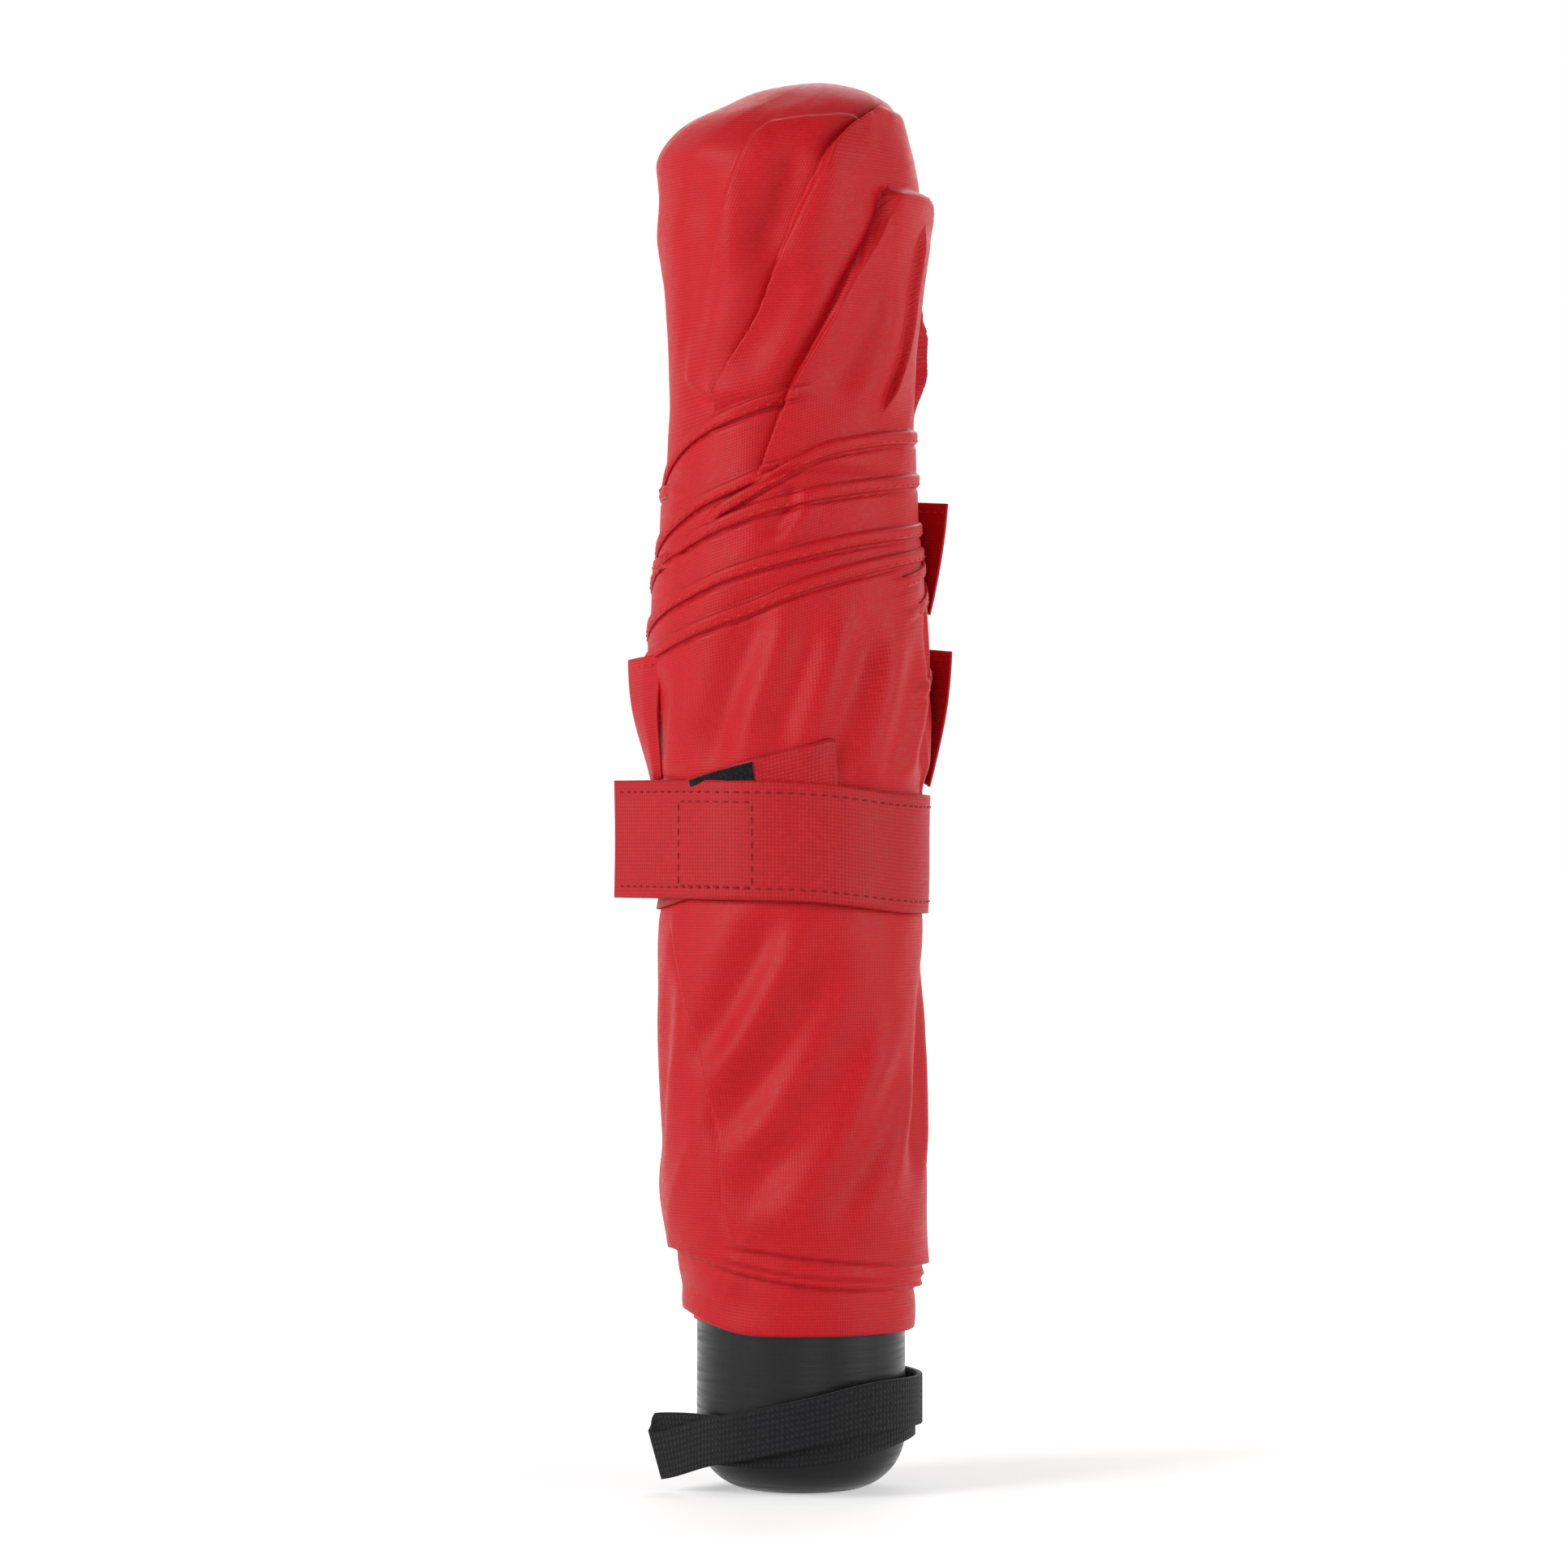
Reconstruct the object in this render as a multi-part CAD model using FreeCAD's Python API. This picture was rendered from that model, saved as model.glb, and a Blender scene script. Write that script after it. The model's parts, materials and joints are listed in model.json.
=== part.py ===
import FreeCAD, Part
import math
import os

from FreeCAD import Vector

# Compact folding umbrella, closed, rolled and tied. Millimetres, +Z up the shaft.
# The origin is the middle of the grip's flat base, and -Y is the front.

# Driving dimensions
CLOSED_LENGTH = 240.0
RIB_COUNT = 8
SLIDE_TRAVEL = 120.0

# Grip
GRIP_RADIUS = 17.75
GRIP_HEIGHT = 45.0
GRIP_WALL = 1.8
GRIP_FLOOR = 24.0
BASE_FLAT_RADIUS = 8.0
CAP_RADIUS = 6.5
CAP_THICKNESS = 3.0
SOCKET_WALL = 1.5
SOCKET_PIN_RADIUS = 0.9
SOCKET_PIN_Z = 15.0

# Shaft tubes
LOWER_TUBE_RADIUS = 4.74
LOWER_TUBE_WALL = 0.6
LOWER_TUBE_TOP = 180.0
MIDDLE_TUBE_WALL = 0.5
MIDDLE_TUBE_TOP = 188.0
UPPER_TUBE_WALL = 0.6
TUBE_OVERLAP = 30.0
TUBE_STAGGER = 4.0
RUNNING_FIT = 0.08
PLUG_FIT = 0.06

# Catches
BUTTON_RADIUS = 1.2
BUTTON_FIT = 0.15
LEAF_THICKNESS = 0.4
LEAF_WIDTH = 2.4
FIN_WIDTH = 1.2
FIN_HEIGHT = 8.0
FIN_STAND_OUT = 1.7
FIN_Z = 194.0

# Crown and runner
CROWN_Z = 211.0
CROWN_HEIGHT = 8.0
HUB_RADIUS = 8.0
HUB_SLOT = 1.7
HUB_WIRE_RADIUS = 7.3
WIRE_RADIUS = 0.4
RUNNER_RISE = 14.0
RUNNER_SLEEVE_WALL = 0.7
RUNNER_HEIGHT = 24.0
RUNNER_FLANGE_HEIGHT = 7.0
WASHER_RADIUS = 11.0
WASHER_THICKNESS = 0.6
FERRULE_RADIUS = 6.6
FERRULE_HEIGHT = 8.0

# Ribs
RIB_GAP = 0.3
CHANNEL_WIDTH = 2.6
CHANNEL_WALL = 0.4
CHANNEL_DEPTH = 2.4
MIDDLE_RIB_WIDTH = 1.6
MIDDLE_RIB_DEPTH = 2.0
OUTER_RIB_RADIUS = 0.8
STRETCHER_WIDTH = 1.3
STRETCHER_DEPTH = 1.8
STRETCHER_TOP = 141.0
HEAD_THICKNESS = 1.3
KNEE_Z = 43.5
ELBOW_Z = 205.0
TIP_Z = 31.0
TIP_RADIUS = 1.2
RIVET_RADIUS = 0.45
RIVET_FIT = 0.04
EYE_HEIGHT = 5.0

# Rolled canopy
CLOTH_GAP = 0.35
CUFF_Z = 27.0
ROLL_CAVITY_RADIUS = 15.3
ROLL_CAVITY_TOP = 230.5
CUFF_STEP = 0.6
# Radius and height of the roll's outline, from the cuff up to its top edge
ROLL_OUTLINE = ((20.0, CUFF_Z), (20.8, 37.0), (22.2, 46.0), (22.6, 75.0), (22.2, 98.0), (22.2, 121.0),
                (23.4, 141.0), (21.6, 165.0), (20.7, 187.0), (21.8, 215.0), (20.0, 231.0))
ROLL_TOP_RADIUS = 12.0

# Tie strap round the roll
TIE_Z = 110.0
TIE_HEIGHT = 20.0
TIE_THICKNESS = 1.0
TIE_SLOPE_DEG = -2.5
PATCH_HEIGHT = 14.0
PATCH_THICKNESS = 0.25
PATCH_GAP = 0.1
TAB_START_DEG = -85.0
TAB_LEAVES_DEG = -130.0
TAB_TAIL = 20.5
PATCH_START_DEG = -104.0
PATCH_MARGIN_DEG = 3.0

# Wrist strap
STRAP_MID_Z = 11.2
STRAP_HEIGHT = 9.0
STRAP_THICKNESS = 2.0
STRAP_CLEARANCE = 0.75
STRAP_SLOPE_DEG = 10.3
STRAP_START_DEG = 40.0
STRAP_LEAVES_DEG = -135.0
STRAP_TAIL = 14.7
ANCHOR_RADIUS = 15.5
ANCHOR_DEG = 60.0
ANCHOR_PIN_RADIUS = 1.0
ANCHOR_PIN_REACH = 1.5
EYE_WALL = 0.9
NECK_Z = 12.8
NECK_THICKNESS = 1.6
POCKET_DEG = 52.0
POCKET_OFFSET = 18.0
POCKET_RADIUS = 6.2
POCKET_SPARE = 0.8

# Sizes that follow from the values above
BASE_ROUND = GRIP_RADIUS - BASE_FLAT_RADIUS
MIDDLE_TUBE_FOOT = LOWER_TUBE_TOP - SLIDE_TRAVEL - TUBE_OVERLAP
UPPER_TUBE_FOOT = MIDDLE_TUBE_TOP - SLIDE_TRAVEL - TUBE_OVERLAP
SOCKET_TOP = MIDDLE_TUBE_FOOT - TUBE_STAGGER
RUNNER_Z = SOCKET_TOP + RUNNER_RISE
MIDDLE_TUBE_BORE = LOWER_TUBE_RADIUS + RUNNING_FIT
MIDDLE_TUBE_RADIUS = MIDDLE_TUBE_BORE + MIDDLE_TUBE_WALL
UPPER_TUBE_BORE = MIDDLE_TUBE_RADIUS + RUNNING_FIT
UPPER_TUBE_RADIUS = UPPER_TUBE_BORE + UPPER_TUBE_WALL
UPPER_TUBE_TOP = CROWN_Z + CROWN_HEIGHT
HUB_BORE = UPPER_TUBE_RADIUS + PLUG_FIT
CHANNEL_IN = HUB_RADIUS + RIB_GAP - RIVET_FIT
CHANNEL_OUT = CHANNEL_IN + CHANNEL_DEPTH
MIDDLE_RIB_IN = CHANNEL_OUT + RIB_GAP
MIDDLE_RIB_OUT = MIDDLE_RIB_IN + MIDDLE_RIB_DEPTH
OUTER_RIB_PLACE = MIDDLE_RIB_OUT + RIB_GAP + OUTER_RIB_RADIUS
MIDDLE_RIB_CENTRE = (MIDDLE_RIB_IN + MIDDLE_RIB_OUT) / 2
CROWN_PIVOT_Z = CROWN_Z + CROWN_HEIGHT / 2
RUNNER_PIVOT_Z = RUNNER_Z + RUNNER_HEIGHT - RUNNER_FLANGE_HEIGHT / 2
STRETCHER_OUT = CHANNEL_OUT - CHANNEL_WALL - RIB_GAP
STRETCHER_IN = STRETCHER_OUT - STRETCHER_DEPTH
STRETCHER_PIVOT_Z = STRETCHER_TOP - EYE_HEIGHT / 2
STRETCHER_PIVOT_R = STRETCHER_IN + STRETCHER_DEPTH * 0.6
TIE_RING_IN = ROLL_OUTLINE[4][0] + CLOTH_GAP
TIE_RING_OUT = TIE_RING_IN + TIE_THICKNESS
LOOP_PATCH_OUT = TIE_RING_OUT + PATCH_THICKNESS
HOOK_PATCH_IN = LOOP_PATCH_OUT + PATCH_GAP
TAB_IN = HOOK_PATCH_IN + PATCH_THICKNESS
STRAP_IN = GRIP_RADIUS + STRAP_CLEARANCE
STRAP_MID_R = STRAP_IN + STRAP_THICKNESS / 2
TILT_BOX = 4 * GRIP_HEIGHT


def ring(outer, inner, foot, top):
    """A tube about the shaft's axis, or a plain cylinder where inner is 0."""
    body = Part.makeCylinder(outer, top - foot, Vector(0, 0, foot))
    if inner:
        body = body.cut(Part.makeCylinder(inner, top - foot, Vector(0, 0, foot)))
    return body


def block(x0, x1, width, z0, z1):
    """A box from x0 to x1 and z0 to z1, with its width across the XZ plane."""
    return Part.makeBox(x1 - x0, width, z1 - z0, Vector(x0, -width / 2, z0))


def across(radius, width, x, z):
    """A cylinder that crosses the XZ plane at x and z."""
    return Part.makeCylinder(radius, width, Vector(x, -width / 2, z), Vector(0, 1, 0))


def turned(shape, degrees):
    """The shape turned about the shaft's axis."""
    copy = shape.copy()
    copy.rotate(Vector(0, 0, 0), Vector(0, 0, 1), degrees)
    return copy


def at(radius, degrees, z=0.0):
    """The point at that radius, azimuth and height."""
    angle = math.radians(degrees)
    return Vector(radius * math.cos(angle), radius * math.sin(angle), z)


def save(name, *solids):
    """Writes the node's STEP file."""
    shape = solids[0] if len(solids) == 1 else Part.makeCompound(list(solids))
    shape.exportStep("parts/" + name + ".step")


def round_ribs(shape):
    """One copy of the shape for each rib, turned into its place."""
    return [turned(shape, 360.0 / RIB_COUNT * (i + 0.5)) for i in range(RIB_COUNT)]


def arc_strip(inner, thickness, start, end, tail=0.0):
    """The plan of a strip that lies round the axis from start down to end, then runs on straight."""
    outer = inner + thickness
    middle = (start + end) / 2
    along = at(1.0, end - 90.0) * tail
    edges = [Part.Arc(at(outer, start), at(outer, middle), at(outer, end)).toShape()]
    if tail:
        edges.append(Part.LineSegment(at(outer, end), at(outer, end) + along).toShape())
        edges.append(Part.LineSegment(at(outer, end) + along, at(inner, end) + along).toShape())
        edges.append(Part.LineSegment(at(inner, end) + along, at(inner, end)).toShape())
    else:
        edges.append(Part.LineSegment(at(outer, end), at(inner, end)).toShape())
    edges.append(Part.Arc(at(inner, end), at(inner, middle), at(inner, start)).toShape())
    edges.append(Part.LineSegment(at(inner, start), at(outer, start)).toShape())
    return Part.Face(Part.Wire(edges))


def sloping(plan, middle, height, slope):
    """The plan raised to a strip of that height, whose +X side is lifted by slope."""
    tall = plan.copy()
    tall.translate(Vector(0, 0, middle - TILT_BOX / 2))
    tall = tall.extrude(Vector(0, 0, TILT_BOX))
    slab = Part.makeBox(TILT_BOX, TILT_BOX, height, Vector(-TILT_BOX / 2, -TILT_BOX / 2, -height / 2))
    slab.rotate(Vector(0, 0, 0), Vector(0, 1, 0), -slope)
    slab.translate(Vector(0, 0, middle))
    return tall.common(slab)


# Grip

def grip():
    """The moulded cup: a rounded solid base, and a thin wall that the rib ends stand in."""
    centre = Vector(BASE_FLAT_RADIUS, 0, BASE_ROUND)
    quarter = Part.makeCircle(BASE_ROUND, centre, Vector(0, -1, 0), 270, 360)
    rim = Part.makePolygon([Vector(GRIP_RADIUS, 0, BASE_ROUND), Vector(GRIP_RADIUS, 0, GRIP_HEIGHT),
                            Vector(0, 0, GRIP_HEIGHT), Vector(0, 0, 0), Vector(BASE_FLAT_RADIUS, 0, 0)])
    outline = Part.Wire(Part.__sortEdges__([quarter] + rim.Edges))
    body = Part.Face(outline).revolve(Vector(0, 0, 0), Vector(0, 0, 1), 360)
    body = body.cut(ring(GRIP_RADIUS - GRIP_WALL, 0, GRIP_FLOOR, GRIP_HEIGHT))
    body = body.cut(ring(CAP_RADIUS, 0, 0, GRIP_FLOOR))
    pocket_height = STRAP_HEIGHT + 2 * POCKET_SPARE
    pocket_foot = NECK_Z - pocket_height / 2
    body = body.cut(Part.makeCylinder(POCKET_RADIUS, pocket_height, at(POCKET_OFFSET, POCKET_DEG, pocket_foot)))
    pin_foot = pocket_foot - ANCHOR_PIN_REACH
    pin_length = pocket_height + 2 * ANCHOR_PIN_REACH
    hole = Part.makeCylinder(ANCHOR_PIN_RADIUS + RIVET_FIT, pin_length, at(ANCHOR_RADIUS, ANCHOR_DEG, pin_foot))
    pin = Part.makeCylinder(ANCHOR_PIN_RADIUS, pin_length, at(ANCHOR_RADIUS, ANCHOR_DEG, pin_foot))
    return body.cut(hole), pin


def handle():
    """The grip with what is fixed in it."""
    shell, pin = grip()
    save("grip", shell)
    save("wrist_strap_pin", pin)
    save("end_cap", ring(CAP_RADIUS - PLUG_FIT, 0, 0, CAP_THICKNESS))
    socket_out = CAP_RADIUS - PLUG_FIT
    socket_in = socket_out - SOCKET_WALL
    foot = CAP_THICKNESS + PLUG_FIT
    pin_hole = across(SOCKET_PIN_RADIUS + RIVET_FIT, 2 * GRIP_RADIUS, 0, SOCKET_PIN_Z)
    socket = ring(socket_out, socket_in, foot, SOCKET_TOP).cut(pin_hole)
    save("shaft_socket", socket)
    save("socket_pin", across(SOCKET_PIN_RADIUS, 2 * (socket_out - PLUG_FIT), 0, SOCKET_PIN_Z))
    lower = ring(LOWER_TUBE_RADIUS, LOWER_TUBE_RADIUS - LOWER_TUBE_WALL, foot + PLUG_FIT, LOWER_TUBE_TOP)
    return lower.cut(pin_hole)


# Shaft

def button_catch(bore, foot, top, button_z, reach):
    """A hairpin of spring strip in a tube, with a button that looks out of the tube's wall."""
    leg = bore - 3 * LEAF_THICKNESS
    front = block(leg - LEAF_THICKNESS, leg, LEAF_WIDTH, foot, top)
    back = block(-leg, LEAF_THICKNESS - leg, LEAF_WIDTH, foot, top)
    bridge = block(-leg, leg, LEAF_WIDTH, foot, foot + LEAF_THICKNESS)
    button = Part.makeCylinder(BUTTON_RADIUS, reach - leg, Vector(leg, 0, button_z), Vector(1, 0, 0))
    return front.fuse([back, bridge, button]).common(ring(reach, 0, foot, top)).removeSplitter()


def button_hole(radius, button_z):
    """The hole that a tube has for its catch's button."""
    return Part.makeCylinder(BUTTON_RADIUS + BUTTON_FIT, radius, Vector(BUTTON_RADIUS, 0, button_z), Vector(1, 0, 0))


def shaft(lower):
    """The three tubes and their catches."""
    lower_button_z = LOWER_TUBE_TOP - EYE_HEIGHT
    save("lower_tube", lower.cut(button_hole(LOWER_TUBE_RADIUS, lower_button_z)))
    save("lower_catch", button_catch(LOWER_TUBE_RADIUS - LOWER_TUBE_WALL, lower_button_z - 5 * EYE_HEIGHT,
                                     LOWER_TUBE_TOP - BUTTON_FIT, lower_button_z,
                                     MIDDLE_TUBE_BORE - PLUG_FIT))
    middle_button_z = (LOWER_TUBE_TOP + MIDDLE_TUBE_TOP) / 2 + BUTTON_FIT
    middle = ring(MIDDLE_TUBE_RADIUS, MIDDLE_TUBE_BORE, MIDDLE_TUBE_FOOT, MIDDLE_TUBE_TOP)
    save("middle_tube", middle.cut(button_hole(MIDDLE_TUBE_RADIUS, middle_button_z)))
    save("middle_catch", button_catch(MIDDLE_TUBE_BORE, LOWER_TUBE_TOP + RIB_GAP, MIDDLE_TUBE_TOP,
                                      middle_button_z, UPPER_TUBE_BORE - PLUG_FIT))
    upper = ring(UPPER_TUBE_RADIUS, UPPER_TUBE_BORE, UPPER_TUBE_FOOT, UPPER_TUBE_TOP)
    slot = block(0, 2 * UPPER_TUBE_RADIUS, FIN_WIDTH + 2 * BUTTON_FIT,
                 FIN_Z - 2 * BUTTON_FIT, FIN_Z + FIN_HEIGHT + 2 * BUTTON_FIT)
    save("upper_tube", upper.cut(slot))
    leaf_out = UPPER_TUBE_BORE - RIB_GAP - 0.5 * LEAF_THICKNESS
    leaf = block(leaf_out - LEAF_THICKNESS, leaf_out, LEAF_WIDTH, FIN_Z - 2 * BUTTON_FIT, FIN_Z + FIN_HEIGHT + 1)
    tip = UPPER_TUBE_RADIUS + FIN_STAND_OUT
    fin = Part.Face(Part.makePolygon([
        Vector(leaf_out - LEAF_THICKNESS, -FIN_WIDTH / 2, FIN_Z), Vector(leaf_out, -FIN_WIDTH / 2, FIN_Z),
        Vector(tip, -FIN_WIDTH / 2, FIN_Z + FIN_HEIGHT), Vector(leaf_out - LEAF_THICKNESS, -FIN_WIDTH / 2,
                                                                FIN_Z + FIN_HEIGHT),
        Vector(leaf_out - LEAF_THICKNESS, -FIN_WIDTH / 2, FIN_Z)])).extrude(Vector(0, FIN_WIDTH, 0))
    save("runner_catch", leaf.fuse(fin).removeSplitter())


# Crown and runner

def hub(sleeve_foot, flange_foot, flange_top):
    """A slotted hub that a wire ring holds the rib ends in, with a sleeve under its flange."""
    body = ring(HUB_RADIUS, HUB_BORE, flange_foot, flange_top)
    slot = block(HUB_BORE + RUNNER_SLEEVE_WALL, 2 * HUB_RADIUS, HUB_SLOT, flange_foot - 1, flange_top + 1)
    for cut in round_ribs(slot):
        body = body.cut(cut)
    if sleeve_foot < flange_foot:
        body = body.fuse(ring(HUB_BORE + RUNNER_SLEEVE_WALL, HUB_BORE, sleeve_foot, flange_foot))
    groove = Part.makeTorus(HUB_WIRE_RADIUS, WIRE_RADIUS + RIVET_FIT, Vector(0, 0, (flange_foot + flange_top) / 2))
    return body.cut(groove).removeSplitter()


def hubs():
    """The crown with its cap, and the runner."""
    save("crown", hub(CROWN_Z, CROWN_Z, UPPER_TUBE_TOP))
    save("crown_wire", Part.makeTorus(HUB_WIRE_RADIUS, WIRE_RADIUS, Vector(0, 0, CROWN_PIVOT_Z)))
    runner_top = RUNNER_Z + RUNNER_HEIGHT
    save("runner", hub(RUNNER_Z, runner_top - RUNNER_FLANGE_HEIGHT, runner_top))
    save("runner_wire", Part.makeTorus(HUB_WIRE_RADIUS, WIRE_RADIUS, Vector(0, 0, RUNNER_PIVOT_Z)))
    washer_top = UPPER_TUBE_TOP + WASHER_THICKNESS
    spigot = UPPER_TUBE_BORE - PLUG_FIT
    save("canopy_washer", ring(WASHER_RADIUS, spigot + PLUG_FIT, UPPER_TUBE_TOP, washer_top))
    cap = ring(FERRULE_RADIUS, 0, washer_top, washer_top + FERRULE_HEIGHT)
    cap = cap.makeFillet(FERRULE_RADIUS / 2, [e for e in cap.Edges if e.BoundBox.ZMin > washer_top + 1])
    save("ferrule_cap", cap.fuse(ring(spigot, 0, UPPER_TUBE_TOP - CROWN_HEIGHT / 2, washer_top)).removeSplitter())


# Ribs

def inner_rib():
    """The channel from the crown down to the knee, with its head in the crown and ears at the knee."""
    top = CROWN_PIVOT_Z + EYE_HEIGHT / 2 - 1
    foot = KNEE_Z - EYE_HEIGHT / 2
    rib = block(CHANNEL_IN, CHANNEL_OUT, CHANNEL_WIDTH, foot, top)
    inside = CHANNEL_WIDTH - 2 * CHANNEL_WALL
    rib = rib.cut(block(CHANNEL_IN, CHANNEL_OUT - CHANNEL_WALL, inside, foot, top - EYE_HEIGHT))
    ears = block(CHANNEL_OUT - CHANNEL_WALL, MIDDLE_RIB_OUT - RIB_GAP, CHANNEL_WIDTH, foot, foot + EYE_HEIGHT)
    ears = ears.cut(block(CHANNEL_OUT, MIDDLE_RIB_OUT, inside, foot, foot + EYE_HEIGHT))
    head = block(HUB_WIRE_RADIUS - 1, CHANNEL_IN, HEAD_THICKNESS, CROWN_PIVOT_Z - 1.5, top)
    head = head.cut(ring(HUB_BORE + RUNNER_SLEEVE_WALL + RIVET_FIT, 0, CROWN_Z, UPPER_TUBE_TOP))
    rib = rib.fuse([ears, head])
    for radius, x, z in ((RIVET_RADIUS, MIDDLE_RIB_CENTRE, KNEE_Z),
                         (RIVET_RADIUS, STRETCHER_PIVOT_R, STRETCHER_PIVOT_Z),
                         (WIRE_RADIUS, HUB_WIRE_RADIUS, CROWN_PIVOT_Z)):
        rib = rib.cut(across(radius + 2 * RIVET_FIT, 2 * CHANNEL_WIDTH, x, z))
    return rib.removeSplitter()


def middle_rib():
    """The bar from the knee back up to the elbow."""
    foot = KNEE_Z - EYE_HEIGHT / 2
    rib = block(MIDDLE_RIB_IN, MIDDLE_RIB_OUT, MIDDLE_RIB_WIDTH, foot, ELBOW_Z + EYE_HEIGHT / 2)
    for z in (KNEE_Z, ELBOW_Z):
        rib = rib.cut(across(RIVET_RADIUS + RIVET_FIT, 2 * CHANNEL_WIDTH, MIDDLE_RIB_CENTRE, z))
    return rib


def outer_rib():
    """The round wire from the elbow down to its tip, with a fork at the elbow."""
    foot = ELBOW_Z - EYE_HEIGHT / 2
    wire = Part.makeCylinder(OUTER_RIB_RADIUS, ELBOW_Z - TIP_Z, Vector(OUTER_RIB_PLACE, 0, TIP_Z))
    fork_out = OUTER_RIB_PLACE + OUTER_RIB_RADIUS / 2
    fork = block(MIDDLE_RIB_IN + RIB_GAP, fork_out, CHANNEL_WIDTH, foot, foot + EYE_HEIGHT)
    gap = CHANNEL_WIDTH - 2 * CHANNEL_WALL
    fork = fork.cut(block(MIDDLE_RIB_IN, MIDDLE_RIB_OUT + RIB_GAP / 2, gap, foot, foot + EYE_HEIGHT))
    fork = fork.cut(across(RIVET_RADIUS + RIVET_FIT, 2 * CHANNEL_WIDTH, MIDDLE_RIB_CENTRE, ELBOW_Z))
    return wire.fuse(fork).removeSplitter()


def stretcher():
    """The strut from the runner up into the inner rib's channel."""
    foot = RUNNER_PIVOT_Z - EYE_HEIGHT / 2 + 1
    bar = block(STRETCHER_IN, STRETCHER_OUT, STRETCHER_WIDTH, foot, STRETCHER_TOP)
    eye = block(HUB_WIRE_RADIUS - 1, STRETCHER_IN, STRETCHER_WIDTH, foot, foot + EYE_HEIGHT)
    eye = eye.cut(ring(HUB_BORE + RUNNER_SLEEVE_WALL + RIVET_FIT, 0, foot - 1, foot + 2 * EYE_HEIGHT))
    bar = bar.fuse(eye)
    bar = bar.cut(across(RIVET_RADIUS + RIVET_FIT, 2 * CHANNEL_WIDTH, STRETCHER_PIVOT_R, STRETCHER_PIVOT_Z))
    bar = bar.cut(across(WIRE_RADIUS + 2 * RIVET_FIT, 2 * CHANNEL_WIDTH, HUB_WIRE_RADIUS, RUNNER_PIVOT_Z))
    return bar.removeSplitter()


def rib_tip():
    """The moulded bead on the outer rib's end, which the canopy's corner is sewn to."""
    bead = Part.makeCylinder(TIP_RADIUS, EYE_HEIGHT, Vector(OUTER_RIB_PLACE, 0, TIP_Z - TIP_RADIUS))
    return bead.cut(Part.makeCylinder(OUTER_RIB_RADIUS + RIVET_FIT, EYE_HEIGHT, Vector(OUTER_RIB_PLACE, 0, TIP_Z)))


def ribs():
    """Every rib, stretcher, rivet and tip."""
    for name, shape in (("inner_rib", inner_rib()), ("middle_rib", middle_rib()),
                        ("outer_rib", outer_rib()), ("stretcher", stretcher())):
        for number, solid in enumerate(round_ribs(shape), 1):
            save(f"{name}_{number}", solid)
    rivets = []
    for x, z in ((MIDDLE_RIB_CENTRE, KNEE_Z), (MIDDLE_RIB_CENTRE, ELBOW_Z),
                 (STRETCHER_PIVOT_R, STRETCHER_PIVOT_Z)):
        rivets += round_ribs(across(RIVET_RADIUS, CHANNEL_WIDTH, x, z))
    save("rib_rivets", *rivets)
    save("rib_tips", *round_ribs(rib_tip()))


# Cloth

def canopy():
    """The rolled canopy: a cuff over the grip's rim, and a closed roll over the folded frame."""
    points = [Vector(radius, 0, z) for radius, z in ROLL_OUTLINE]
    side = Part.BSplineCurve()
    side.interpolate(points)
    shoulder = Part.Arc(points[-1], Vector(ROLL_TOP_RADIUS * 1.4, 0, CLOSED_LENGTH - 2.5),
                        Vector(ROLL_TOP_RADIUS, 0, CLOSED_LENGTH)).toShape()
    closing = Part.makePolygon([Vector(ROLL_TOP_RADIUS, 0, CLOSED_LENGTH), Vector(0, 0, CLOSED_LENGTH),
                                Vector(0, 0, CUFF_Z), points[0]])
    outline = Part.Wire([side.toShape(), shoulder] + closing.Edges)
    roll = Part.Face(outline).revolve(Vector(0, 0, 0), Vector(0, 0, 1), 360)
    roll = roll.cut(ring(GRIP_RADIUS + CLOTH_GAP, 0, CUFF_Z, GRIP_HEIGHT + CUFF_STEP))
    return roll.cut(ring(ROLL_CAVITY_RADIUS, 0, CUFF_Z, ROLL_CAVITY_TOP))


def tie_strap():
    """The band round the roll, the tab that closes it, and the touch fastener's two halves."""
    save("tie_strap", sloping(Part.Face(Part.Wire(Part.makeCircle(TIE_RING_OUT))), TIE_Z, TIE_HEIGHT, TIE_SLOPE_DEG)
         .cut(ring(TIE_RING_IN, 0, 0, CLOSED_LENGTH)))
    tab = arc_strip(TAB_IN, TIE_THICKNESS, TAB_START_DEG, TAB_LEAVES_DEG, TAB_TAIL)
    save("tie_tab", sloping(tab, TIE_Z, TIE_HEIGHT, TIE_SLOPE_DEG))
    start = PATCH_START_DEG
    end = TAB_LEAVES_DEG + PATCH_MARGIN_DEG
    save("loop_patch", sloping(arc_strip(TIE_RING_OUT, PATCH_THICKNESS, start, end), TIE_Z, PATCH_HEIGHT,
                               TIE_SLOPE_DEG))
    save("hook_patch", sloping(arc_strip(HOOK_PATCH_IN, PATCH_THICKNESS, start, end), TIE_Z, PATCH_HEIGHT,
                               TIE_SLOPE_DEG))


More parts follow.
